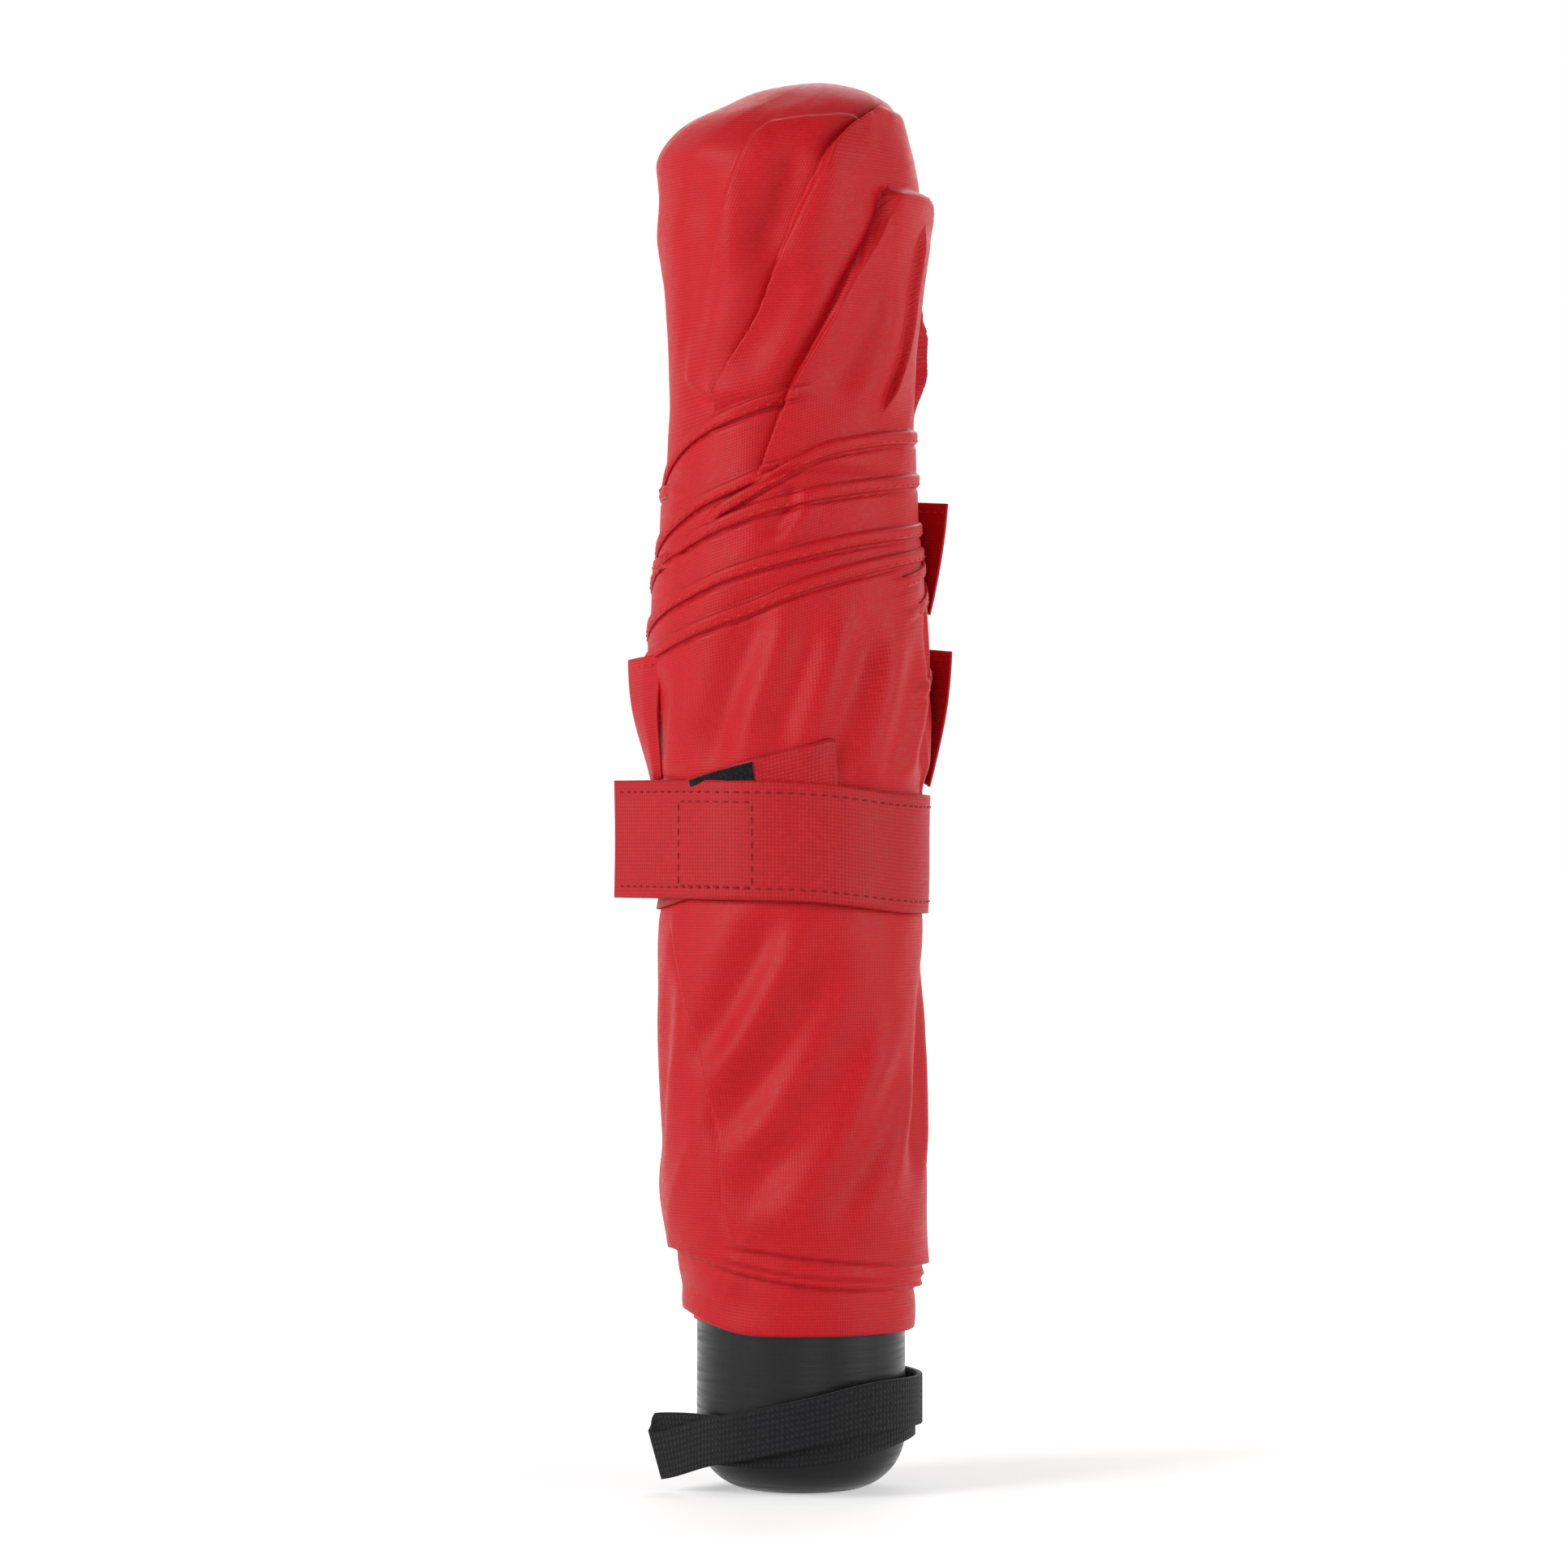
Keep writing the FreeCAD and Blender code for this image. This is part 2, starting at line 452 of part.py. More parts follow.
def wrist_strap():
    """The wrist loop, pressed flat and lying round the grip's front, with its eye on the anchor pin."""
    band = sloping(arc_strip(STRAP_IN, STRAP_THICKNESS, STRAP_START_DEG, STRAP_LEAVES_DEG, STRAP_TAIL),
                   STRAP_MID_Z, STRAP_HEIGHT, STRAP_SLOPE_DEG)
    foot = NECK_Z - STRAP_HEIGHT / 2
    pin = at(ANCHOR_RADIUS, ANCHOR_DEG, foot)
    joins = at(STRAP_MID_R, STRAP_START_DEG, foot)
    run = joins - pin
    neck = Part.makeBox(run.Length, NECK_THICKNESS, STRAP_HEIGHT, Vector(0, -NECK_THICKNESS / 2, 0))
    neck.rotate(Vector(0, 0, 0), Vector(0, 0, 1), math.degrees(math.atan2(run.y, run.x)))
    neck.translate(pin)
    bore = ANCHOR_PIN_RADIUS + RUNNING_FIT
    eye = Part.makeCylinder(bore + EYE_WALL, STRAP_HEIGHT, pin)
    return band.fuse([neck, eye]).cut(Part.makeCylinder(bore, STRAP_HEIGHT, pin)).removeSplitter()


os.makedirs("parts", exist_ok=True)
shaft(handle())
hubs()
ribs()
save("canopy_roll", canopy())
tie_strap()
save("wrist_strap", wrist_strap())
print("anchor pin at", at(ANCHOR_RADIUS, ANCHOR_DEG))
print("tab root at", at(TAB_IN, TAB_START_DEG))
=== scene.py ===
"""Looks of a closed compact umbrella: rolled canopy, tie strap, touch fastener, grip and wrist loop.

Lengths are in millimetres until a mesh is placed. Angles are in degrees round the shaft, measured from the
front (-Y) and positive to the right. A height above CROWN_HEIGHT is measured along the cloth over the top.
"""

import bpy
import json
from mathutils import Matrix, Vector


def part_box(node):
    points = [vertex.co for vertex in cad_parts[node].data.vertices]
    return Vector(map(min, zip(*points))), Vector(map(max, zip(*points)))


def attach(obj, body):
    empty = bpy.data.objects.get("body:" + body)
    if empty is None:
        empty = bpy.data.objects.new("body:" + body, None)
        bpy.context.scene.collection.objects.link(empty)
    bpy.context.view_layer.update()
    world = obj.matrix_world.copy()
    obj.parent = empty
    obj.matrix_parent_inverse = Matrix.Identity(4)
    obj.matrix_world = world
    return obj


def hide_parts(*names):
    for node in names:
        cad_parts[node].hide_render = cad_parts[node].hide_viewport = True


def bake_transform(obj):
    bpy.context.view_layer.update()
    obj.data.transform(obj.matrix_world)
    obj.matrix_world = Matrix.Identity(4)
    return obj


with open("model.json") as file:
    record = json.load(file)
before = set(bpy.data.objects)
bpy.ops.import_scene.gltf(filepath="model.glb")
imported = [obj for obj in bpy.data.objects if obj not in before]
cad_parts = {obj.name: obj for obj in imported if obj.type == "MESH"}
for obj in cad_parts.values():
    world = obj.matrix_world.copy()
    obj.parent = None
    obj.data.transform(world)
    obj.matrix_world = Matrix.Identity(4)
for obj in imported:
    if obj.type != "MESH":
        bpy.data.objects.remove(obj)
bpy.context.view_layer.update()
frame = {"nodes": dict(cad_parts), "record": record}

import json
import logging
import math
from collections.abc import Callable, Sequence
from dataclasses import dataclass, replace
from enum import Enum

import bmesh
import bpy
import numpy as np
from mathutils import Matrix, Vector, noise

LOG = logging.getLogger("umbrella")
MM = 0.001
CROWN_HEIGHT = 222.0
STRAP_HEIGHT = 110.0
CLOTH_REACH = 22.0

Point = tuple[float, float]
Place = Callable[[np.ndarray, np.ndarray], np.ndarray]


def smooth_line(points: Sequence[Point], where: np.ndarray) -> np.ndarray:
    """Reads a smooth line through some points.

    Args:
        points: Pairs of place and value, in rising order of place.
        where: The places to read. Past an end, the line keeps that end's value.

    Returns:
        The line's values.
    """
    places, values = np.array(points, float).T
    slopes = np.gradient(values, places)
    left = np.clip(np.searchsorted(places, where) - 1, 0, len(places) - 2)
    width = places[left + 1] - places[left]
    t = np.clip((where - places[left]) / width, 0, 1)
    start, end = values[left], values[left + 1]
    rise, run = slopes[left] * width, slopes[left + 1] * width
    return (start * (2 * t**3 - 3 * t**2 + 1) + rise * (t**3 - 2 * t**2 + t)
            + end * (3 * t**2 - 2 * t**3) + run * (t**3 - t**2))


def ease(value: np.ndarray) -> np.ndarray:
    """Goes smoothly from 0 to 1 as the value does."""
    t = np.clip(value, 0, 1)
    return t * t * (3 - 2 * t)


def around(angle: np.ndarray) -> np.ndarray:
    """Brings an angle into the half turn on each side of the front."""
    return (angle + 180.0) % 360.0 - 180.0


def soft_noise(angle: np.ndarray, height: np.ndarray, across: float, along: float, seed: float) -> np.ndarray:
    """Reads a seamless noise on the roll.

    Args:
        angle: Angles round the roll.
        height: Heights on the roll.
        across: The noise's size round the roll.
        along: The noise's size up the roll.
        seed: Which noise to read.

    Returns:
        Values between about -1 and 1.
    """
    turn = np.radians(angle)
    reach = CLOTH_REACH / across
    xs, ys, zs = np.sin(turn) * reach + seed, np.cos(turn) * reach, height / along
    flat = [noise.noise((x, y, z)) for x, y, z in zip(xs.ravel(), ys.ravel(), zs.ravel())]
    return np.array(flat).reshape(xs.shape)


@dataclass(frozen=True)
class Spot:
    """Places on the roll.

    Attributes:
        angle: Angles round the roll.
        height: Heights on the roll.
        radius: The roll's radius there.
    """

    angle: np.ndarray
    height: np.ndarray
    radius: np.ndarray


class Lie(Enum):
    """Which way a fold's edge runs, and on which side of it the upper cloth lies."""

    UPRIGHT = "up the roll, with the upper cloth on its right"
    OVER_BELOW = "round the roll, with the upper cloth below it"
    OVER_ABOVE = "round the roll, with the upper cloth above it"


@dataclass(frozen=True)
class Fold:
    """One layer's edge on the roll: the cloth steps up at it and settles again behind it."""

    lie: Lie
    line: tuple[Point, ...]
    step: float
    settle: float
    crevice: float
    lip: float
    end: float = 5.0
    seam: float = 0.0

    def turned(self, turn: float, lift: float) -> "Fold":
        """Gives the same fold further round and further up."""
        line = tuple((angle + turn, height + lift) for angle, height in self.line)
        return replace(self, line=line)

    def behind(self, spot: Spot) -> tuple[np.ndarray, np.ndarray]:
        """Measures how far places lie behind the edge.

        Args:
            spot: The places.

        Returns:
            The distance on the upper cloth's side, and how much of the fold there is at that place.
        """
        if self.lie is Lie.UPRIGHT:
            line = sorted((h, a) for a, h in self.line)
            edge = smooth_line(line, spot.height)
            distance = np.radians(around(spot.angle - edge)) * spot.radius
            low, high, place, fade = line[0][0], line[-1][0], spot.height, self.end
        else:
            low, high, fade = self.line[0][0], self.line[-1][0], self.end * 2.5
            middle = (low + high) / 2
            place = around(spot.angle - middle) + middle
            edge = smooth_line(self.line, place)
            distance = (edge - spot.height) * (1 if self.lie is Lie.OVER_BELOW else -1)
        share = ease((place - low) / fade) * ease((high - place) / fade)
        return distance, share

    def offset(self, spot: Spot) -> np.ndarray:
        """Gives how far the fold lifts the cloth.

        Args:
            spot: The places.

        Returns:
            The lift, which is below 0 in the crevice before the edge.
        """
        distance, share = self.behind(spot)
        over = ease(distance / self.lip + 0.5)
        upper = self.step * over * np.exp(-np.maximum(distance, 0) / self.settle)
        lower = self.crevice * np.exp(-np.abs(np.minimum(distance, 0)) / 1.6) * (1 - over)
        if self.seam:
            lower = lower + 0.7 * np.exp(-(((distance - self.seam) / 0.36) ** 2))
            share = share * (1 - 0.6 * np.sin(np.radians(spot.angle)) ** 4)
        return share * (upper - lower)


@dataclass(frozen=True)
class Crease:
    """A soft dent that runs slanting over the cloth."""

    start: Point
    end: Point
    depth: float
    width: float

    def turned(self, turn: float) -> "Crease":
        """Gives the same crease further round."""
        start, end = ((angle + turn, height) for angle, height in (self.start, self.end))
        return replace(self, start=start, end=end)

    def offset(self, spot: Spot) -> np.ndarray:
        """Gives how far the crease lowers the cloth, and lifts it on its lower side.

        Args:
            spot: The places.

        Returns:
            The change in radius.
        """
        run_x = (self.end[0] - self.start[0]) * np.radians(1.0) * CLOTH_REACH
        run_z = self.end[1] - self.start[1]
        length = math.hypot(run_x, run_z)
        x = around(spot.angle - self.start[0]) * (np.radians(1.0) * spot.radius)
        z = spot.height - self.start[1]
        along = (x * run_x + z * run_z) / length
        side = (z * run_x - x * run_z) / length
        bend = 1.2 * np.sin(along / length * math.pi)
        across = (side + bend) / self.width
        share = ease(along / (0.3 * length)) * ease((length - along) / (0.3 * length))
        return share * self.depth * (0.6 * np.exp(-((across + 1.3) ** 2)) - np.exp(-(across**2)))


@dataclass
class Roll:
    """The rolled cloth's surface, which every piece on it is laid against."""

    # Height on the cloth, half width, height above the base, and middle from left to right
    meridian: tuple[tuple[float, float, float, float], ...] = (
        (6, 18.5, 44, 0), (20, 18.6, 30, 0), (24, 18.9, 27.6, -0.2), (27, 19.7, 27.5, -0.4),
        (33, 19.9, 33, -0.4), (40.4, 21, 40.4, -0.5), (47.3, 22.3, 47.3, -1.2), (60, 22.4, 60, -1.5),
        (73.6, 22.5, 73.6, -1.7), (94.3, 22.5, 94.3, -1.8), (STRAP_HEIGHT, 22.2, 110, -1.6),
        (122, 23, 122, -1.6), (133, 24, 133, -2.1), (146.9, 23.5, 146.9, -2.1), (159.3, 22.4, 159.3, -2),
        (174.5, 21, 174.5, -1.7), (187, 20.3, 187, -1.4), (201, 20.7, 201, -1.1),
        (212, 21.4, 212, -1.2), (CROWN_HEIGHT, 21.8, 222, -2), (225.8, 21.5, 225.7, -2.4),
        (229.4, 20, 228.9, -1.9), (234.8, 16.8, 233, -0.4), (238.1, 14.2, 235, 1),
        (243, 10, 237.2, 1.7), (248, 5.2, 238.5, 2.6), (253.4, 0, 239.3, 3.4))
    depth_share: float = 0.97
    hems: tuple[Fold, ...] = tuple(
        Fold(Lie.OVER_BELOW, line, 0.75, 5.5, 0.3, 0.5, 5, 2.4)
        for line in (
            ((-128, 166), (-90, 171), (-66, 176.5), (-46, 180.1), (-24, 183.1), (2, 185.9), (12, 186.5)),
            ((-132, 156), (-82, 161.3), (-59, 165), (-42, 168.2), (-24, 170.8), (-8, 173.2), (4, 174.5)),
            ((-46, 161.8), (-37, 165), (-23, 168.2), (-4, 172.6), (13, 176.1), (34, 178), (84, 179.7),
             (135, 180.5)),
            ((-125, 150.5), (-90, 154.9), (-48, 161.5), (-27, 164.6), (-9, 167.1), (14, 169.3), (41, 170.9),
             (80, 172.3), (130, 173)),
            ((-140, 140), (-90, 146.5), (-46, 152.7), (-26, 155.7), (-3, 158.5), (20, 160.8), (80, 163.9),
             (150, 165.5)),
            ((-118, 137.5), (-92, 140.8), (-62, 143.7), (-38, 147), (-14, 150.5), (8, 154.1), (32, 156.8),
             (77, 159.7), (140, 161))))
    pleats: tuple[Fold, ...] = (
        Fold(Lie.UPRIGHT, ((-46, 203), (-37, 210.6), (-27, 220.3), (-16, 228), (-8, 234)),
             1.1, 8, 0.3, 1.4, 7),
        Fold(Lie.OVER_BELOW, ((-20, 229), (-12, 230.6), (12, 232.6), (34, 232.8), (44, 231)),
             0.7, 7, 0.2, 1.6, 4),
        Fold(Lie.UPRIGHT, ((-41, 181.5), (-33, 188.6), (-18, 197.5), (-7, 207.6), (10, 220.3), (26, 228.7),
                           (60, 237)), 2.3, 13, 1.2, 0.45, 4),
        Fold(Lie.UPRIGHT, ((-14, 171), (-11, 174.8), (2, 187.8), (14, 196.5), (26, 205.4), (38, 213.3),
                           (46, 220.5)), 2.5, 12, 1.2, 0.45, 2.5),
        Fold(Lie.OVER_BELOW, ((40, 218.2), (46, 219.1), (62, 219.6), (84, 218.2), (100, 212), (112, 202)),
             1.8, 8, 0.5, 0.8, 2.5),
        Fold(Lie.UPRIGHT, ((44, 180.9), (63, 193.1), (67, 202.7), (71, 215)), 0.9, 5, 1.2, 0.6, 5),
        Fold(Lie.UPRIGHT, ((80, 116), (82, 134), (80, 152)), 0.1, 3, 1, 0.6, 7),
        Fold(Lie.OVER_ABOVE, ((-64, 188.4), (-50, 185.6), (-38, 183.4)), 0.8, 6, 0.3, 0.9, 3))
    cuff_folds: tuple[Fold, ...] = (
        Fold(Lie.UPRIGHT, ((-30, 42.9), (-36, 62.7), (-43, 73.7), (-64, 97.9)), 1, 11, 0.7, 1.2, 7),
        Fold(Lie.OVER_ABOVE, ((-36, 42.8), (-10, 41.6), (30, 39.8), (75, 38.6), (150, 38)),
             1, 7, 0.6, 0.7),
        Fold(Lie.OVER_ABOVE, ((-170, 42), (-95, 41.4), (-60, 40.4), (-25, 37.6), (10, 35.8), (74, 34.6),
                              (150, 34)), 1.2, 6, 0.6, 0.7),
        Fold(Lie.OVER_ABOVE, ((-40, 40.6), (-15, 38.8), (10, 37.6), (72, 36.4), (140, 36.2)),
             0.5, 2, 0.4, 0.6))
    creases: tuple[Crease, ...] = (
        Crease((-44, 118), (-4, 156), 2, 4.2), Crease((-12, 122), (14, 152), 1.7, 3.6),
        Crease((10, 118), (44, 150), 1.8, 4.2), Crease((40, 118), (70, 146), 1.2, 3.4),
        Crease((-86, 120), (-54, 140), 1, 3.2), Crease((-50, 70), (0, 102), 2.2, 4.2),
        Crease((-42, 57), (26, 94), 2.8, 4.8), Crease((-34, 43), (46, 90), 2.8, 5.4),
        Crease((6, 42), (64, 78), 1.4, 4.2), Crease((58, 50), (96, 96), 1, 3.6),
        Crease((-90, 50), (-64, 92), 1, 3.4), Crease((-64, 188), (-36, 226), 1.3, 3.8),
        Crease((-22, 204), (8, 231), 2, 4), Crease((-30, 186), (2, 210), 1.2, 3.4),
        Crease((12, 181), (40, 208), 1.2, 3.6), Crease((-12, 160), (2, 171), 1.2, 2))

    def __post_init__(self) -> None:
        """Repeats the front's folds on the back, where the same cloth is wound on."""
        self.hems += tuple(fold.turned(176.0, -2.5) for fold in self.hems[1::2])
        self.pleats += tuple(replace(fold.turned(turn, 0.0), end=9.0)
                             for turn in (126.0, -152.0) for fold in self.pleats[2:4])
        self.creases += tuple(crease.turned(150.0) for crease in self.creases)

    def _read(self, column: int, height: np.ndarray) -> np.ndarray:
        """Reads one column of the meridian at some heights."""
        return smooth_line([(row[0], row[column]) for row in self.meridian], height)

    def relief(self, angle: np.ndarray, height: np.ndarray) -> np.ndarray:
        """Gives the lift that all folds, hems and creases make.

        Args:
            angle: Angles round the roll.
            height: Heights on the roll.

        Returns:
            The lift above the plain roll.
        """
        spot = Spot(angle, height, np.maximum(self._read(1, height), 4.0))
        lift = sum(fold.offset(spot) for fold in self.hems + self.pleats + self.cuff_folds)
        strapped = 1 - ease((np.abs(height - STRAP_HEIGHT) - 8.0) / 6.0)
        lift = lift + (1 - strapped) * sum(crease.offset(spot) for crease in self.creases)
        slant = angle - height * 1.5
        rough = soft_noise(slant, height, 11.0, 60.0, 3.0) + 0.22 * soft_noise(slant, height, 4.0, 26.0, 8.0)
        ridged = 0.35 - np.abs(soft_noise(slant, height, 13.0, 44.0, 21.0))
        calm = ease((height - 27.0) / 6.0) * ease((250.0 - height) / 18.0)
        return calm * (lift + (1 - 0.6 * strapped) * (0.35 * rough + 0.45 * ridged)) - 0.5 * strapped

    def place(self, angle: np.ndarray, height: np.ndarray, lift: float | np.ndarray = 0.0,
              relief: bool = True) -> np.ndarray:
        """Gives points on the roll.

        Args:
            angle: Angles round the roll.
            height: Heights on the roll.
            lift: How far off the cloth the points are.
            relief: Whether the points follow the folds.

        Returns:
            The points in metres, with x, y and z in the last axis.
        """
        angle, height = np.broadcast_arrays(np.asarray(angle, float), np.asarray(height, float))
        off = lift + (self.relief(angle, height) if relief else 0.0)
        half, up, middle = (self._read(column, height) for column in (1, 2, 3))
        step = 0.5
        out_run = self._read(2, height + step) - self._read(2, height - step)
        up_run = self._read(1, height - step) - self._read(1, height + step)
        size = np.maximum(np.hypot(out_run, up_run), 1e-6)
        radius = half + off * out_run / size
        turn = np.radians(angle)
        leftward = ease((-around(angle) - 20) / 60) * ease((around(angle) + 178) / 60)
        cuff = 3.2 * leftward * ease((40.0 - height) / 12.0)
        points = (middle + radius * np.sin(turn), -radius * self.depth_share * np.cos(turn),
                  up + off * up_run / size + cuff)
        return np.stack(points, axis=-1) * MM


def grid_piece(name: str, columns: int, rows: int, place: Place, cut: Point,
               closed: bool = False) -> bpy.types.Object:
    """Makes a piece of cloth from a flat grid.

    Args:
        name: The piece's name.
        columns: Faces along its first side.
        rows: Faces along its second side.
        place: Gives the points for shares along both sides.
        cut: The flat cloth's size along both sides, for the weave.
        closed: Whether its first side comes round and joins.

    Returns:
        The piece, whose UV map is in metres.
    """
    bm = bmesh.new()
    bmesh.ops.create_grid(bm, x_segments=columns, y_segments=rows, size=0.5)
    bm.verts.ensure_lookup_table()
    flat = np.array([vertex.co[:2] for vertex in bm.verts])
    flat = (flat - flat.min(axis=0)) / (flat.max(axis=0) - flat.min(axis=0))
    weave = bm.loops.layers.uv.new("Weave")
    for face in bm.faces:
        for loop in face.loops:
            share = flat[loop.vert.index]
            loop[weave].uv = (share[0] * cut[0] * MM, share[1] * cut[1] * MM)
    for vertex, point in zip(bm.verts, place(flat[:, 0], flat[:, 1])):
        vertex.co = point
    if closed:
        bmesh.ops.remove_doubles(bm, verts=bm.verts, dist=1e-6)
        bmesh.ops.recalc_face_normals(bm, faces=bm.faces)
    return finished(name, bm)


def in_scene(name: str, data: bpy.types.ID) -> bpy.types.Object:
    """Makes an object of some data and puts it in the scene."""
    thing = bpy.data.objects.new(name, data)
    bpy.context.scene.collection.objects.link(thing)
    return thing


def finished(name: str, bm: bmesh.types.BMesh) -> bpy.types.Object:
    """Turns a finished bmesh into a smooth object in the scene.

    Args:
        name: The piece's name.
        bm: The mesh, which is freed.

    Returns:
        The object.
    """
    mesh = bpy.data.meshes.new(name)
    bm.to_mesh(mesh)
    bm.free()
    mesh.polygons.foreach_set("use_smooth", [True] * len(mesh.polygons))
    return in_scene(name, mesh)


def thicken(piece: bpy.types.Object, thickness: float, offset: float = 1.0) -> None:
    """Gives a sheet its thickness.

    Args:
        piece: The sheet.
        thickness: The cloth's thickness.
        offset: 1 keeps the sheet as the wall's inner side, and 0 as its middle.
    """
    wall = piece.modifiers.new("Thickness", "SOLIDIFY")
    wall.thickness = thickness * MM
    wall.offset = offset


def settle(piece: bpy.types.Object, material: bpy.types.Material, slot: str) -> None:
    """Gives a piece its one material."""
    piece.data.materials.clear()
    piece.data.materials.append(material)
    LOG.info("%s: %d faces", piece.name, len(piece.data.polygons))


def stitches(name: str, centres: np.ndarray, outward: np.ndarray, length: float, width: float,
             share: float = 0.62) -> bpy.types.Object:
    """Sews a row of stitches along a line.

    Args:
        name: The piece's name.
        centres: Points along the line, in metres.
        outward: The cloth's outward direction at each point.
        length: From one stitch's start to the next one's.
        width: The thread's width.
        share: How much of each length the thread shows.

    Returns:
        The stitches as one object.
    """
    steps = np.linalg.norm(np.diff(centres, axis=0), axis=1)
    run = np.concatenate(([0.0], np.cumsum(steps)))
    count = max(2, round(run[-1] / (length * MM)))
    places = (np.arange(count) + 0.5) / count * run[-1]
    near = 0.4 * MM

    def read(table: np.ndarray, where: np.ndarray) -> np.ndarray:
        return np.stack([np.interp(where, run, table[:, axis]) for axis in range(3)], axis=1)

    bm = bmesh.new()
    for point, normal, front, back in zip(read(centres, places), read(outward, places),
                                          read(centres, places + near), read(centres, places - near)):
        along = Vector(front - back).normalized()
        out = Vector(normal).normalized()
        side = out.cross(along).normalized()
        basis = Matrix((along, side, out)).transposed().to_4x4()
        size = Matrix.Diagonal((length * share / 2 * MM, width / 2 * MM, width / 2 * MM, 1.0))
        place = Matrix.Translation(point) @ basis @ size
        bmesh.ops.create_icosphere(bm, subdivisions=1, radius=1.0, matrix=place)
    return finished(name, bm)


class Desk:
    """Lays out one material's nodes."""

    def __init__(self, name: str) -> None:
        """Starts a material of this name."""
        self.material = bpy.data.materials.new(name)
        self.material.use_nodes = True
        self.nodes = self.material.node_tree.nodes
        self.links = self.material.node_tree.links
        self.shader = self.nodes["Principled BSDF"]

    def add(self, kind: str, **values: object) -> bpy.types.Node:
        """Adds a node.

        Args:
            kind: The node's type, without its "ShaderNode".
            **values: Properties, or values or sources of inputs, whose names are written with underscores.

        Returns:
            The node.
        """
        node = self.nodes.new("ShaderNode" + kind)
        for key, value in values.items():
            if isinstance(value, bpy.types.NodeSocket):
                self.join(value, node.inputs[key.replace("_", " ")])
            elif hasattr(node, key):
                setattr(node, key, value)
            else:
                node.inputs[key.replace("_", " ")].default_value = value
        return node

    def join(self, start: bpy.types.NodeSocket, end: bpy.types.NodeSocket) -> None:
        """Links two sockets."""
        self.links.new(start, end)

    def pair(self, operation: str, first: bpy.types.NodeSocket,
             second: bpy.types.NodeSocket) -> bpy.types.NodeSocket:
        """Combines two values with a Math node's operation."""
        node = self.add("Math", operation=operation)
        self.join(first, node.inputs[0])
        self.join(second, node.inputs[1])
        return node.outputs["Value"]

    def set(self, **values: object) -> None:
        """Sets constants on the shader's own sockets."""
        for key, value in values.items():
            self.shader.inputs[key.replace("_", " ")].default_value = value

    def colours(self, factor: bpy.types.NodeSocket, low: Sequence[float], high: Sequence[float],
                ends: Point = (0.3, 0.7)) -> None:
        """Shades the base colour between two colours.

        Args:
            factor: What chooses between them.
            low: The colour at the first end.
            high: The colour at the second end.
            ends: The factor's values at both colours.
        """
        ramp = self.add("ValToRGB")
        ramp.color_ramp.elements[0].position, ramp.color_ramp.elements[1].position = ends
        ramp.color_ramp.elements[0].color = (*low, 1.0)
        ramp.color_ramp.elements[1].color = (*high, 1.0)
        self.join(factor, ramp.inputs["Fac"])
        self.join(ramp.outputs["Color"], self.shader.inputs["Base Color"])

    def range(self, factor: bpy.types.NodeSocket, socket: str, low: float, high: float) -> None:
        """Varies one of the shader's values with a factor.

        Args:
            factor: What it varies with.
            socket: The shader's socket.
            low: The value where the factor is 0.3.
            high: The value where the factor is 0.7.
        """
        spread = self.add("MapRange", Value=factor, From_Min=0.3, From_Max=0.7, To_Min=low, To_Max=high)
        self.join(spread.outputs["Result"], self.shader.inputs[socket])

    def bump(self, height: bpy.types.NodeSocket, distance: float, strength: float = 1.0,
             under: bpy.types.Node | None = None) -> bpy.types.Node:
        """Adds relief to the surface.

        Args:
            height: The relief.
            distance: Its depth in millimetres.
            strength: How strongly it shows.
            under: A coarser relief that it lies on.

        Returns:
            The bump node, which is linked to the shader.
        """
        node = self.add("Bump", Height=height, Distance=distance * MM, Strength=strength)
        if under:
            self.join(under.outputs["Normal"], node.inputs["Normal"])
        self.join(node.outputs["Normal"], self.shader.inputs["Normal"])
        return node


def wave_scale(spacing: float) -> float:
    """Gives the scale at which a wave texture's bands lie this far apart."""
    return 2 * math.pi / (spacing * MM) / 20.0


@dataclass(frozen=True)
class WovenCloth:
    """Plain woven polyester, on a UV map in metres."""

    name: str
    light: tuple[float, float, float]
    dark: tuple[float, float, float]
    thread: float = 0.5
    roughness: float = 0.48
    sheen: float = 0.06

    def build(self) -> bpy.types.Material:
        """Makes the material."""
        desk = Desk(self.name)
        weave = desk.add("UVMap", uv_map="Weave").outputs["UV"]
        place = desk.add("TexCoord").outputs["Object"]
        scale = wave_scale(self.thread)
        warp = desk.add("TexWave", Vector=weave, bands_direction="X", Scale=scale, Distortion=0.4)
        weft = desk.add("TexWave", Vector=weave, bands_direction="Y", Scale=scale, Distortion=0.4)
        threads = desk.pair("MULTIPLY", warp.outputs["Fac"], weft.outputs["Fac"])
        patches = desk.add("TexNoise", Vector=place, Scale=70.0, Detail=5.0, Roughness=0.55)
        slubs = desk.add("TexNoise", Vector=place, Scale=900.0, Detail=3.0)
        blend = desk.add("Mix", data_type="FLOAT", Factor=0.4, A=slubs.outputs["Fac"], B=threads)
        desk.colours(blend.outputs["Result"], self.dark, self.light)
        desk.range(slubs.outputs["Fac"], "Roughness", self.roughness - 0.06, self.roughness + 0.08)
        crumple = desk.bump(patches.outputs["Fac"], 0.2, 0.3)
        desk.bump(threads, 0.07, 0.55, crumple)
        desk.set(Sheen_Weight=self.sheen, Sheen_Roughness=0.4, Sheen_Tint=(1.0, 0.45, 0.42, 1.0),
                 Specular_IOR_Level=0.24)
        return desk.material


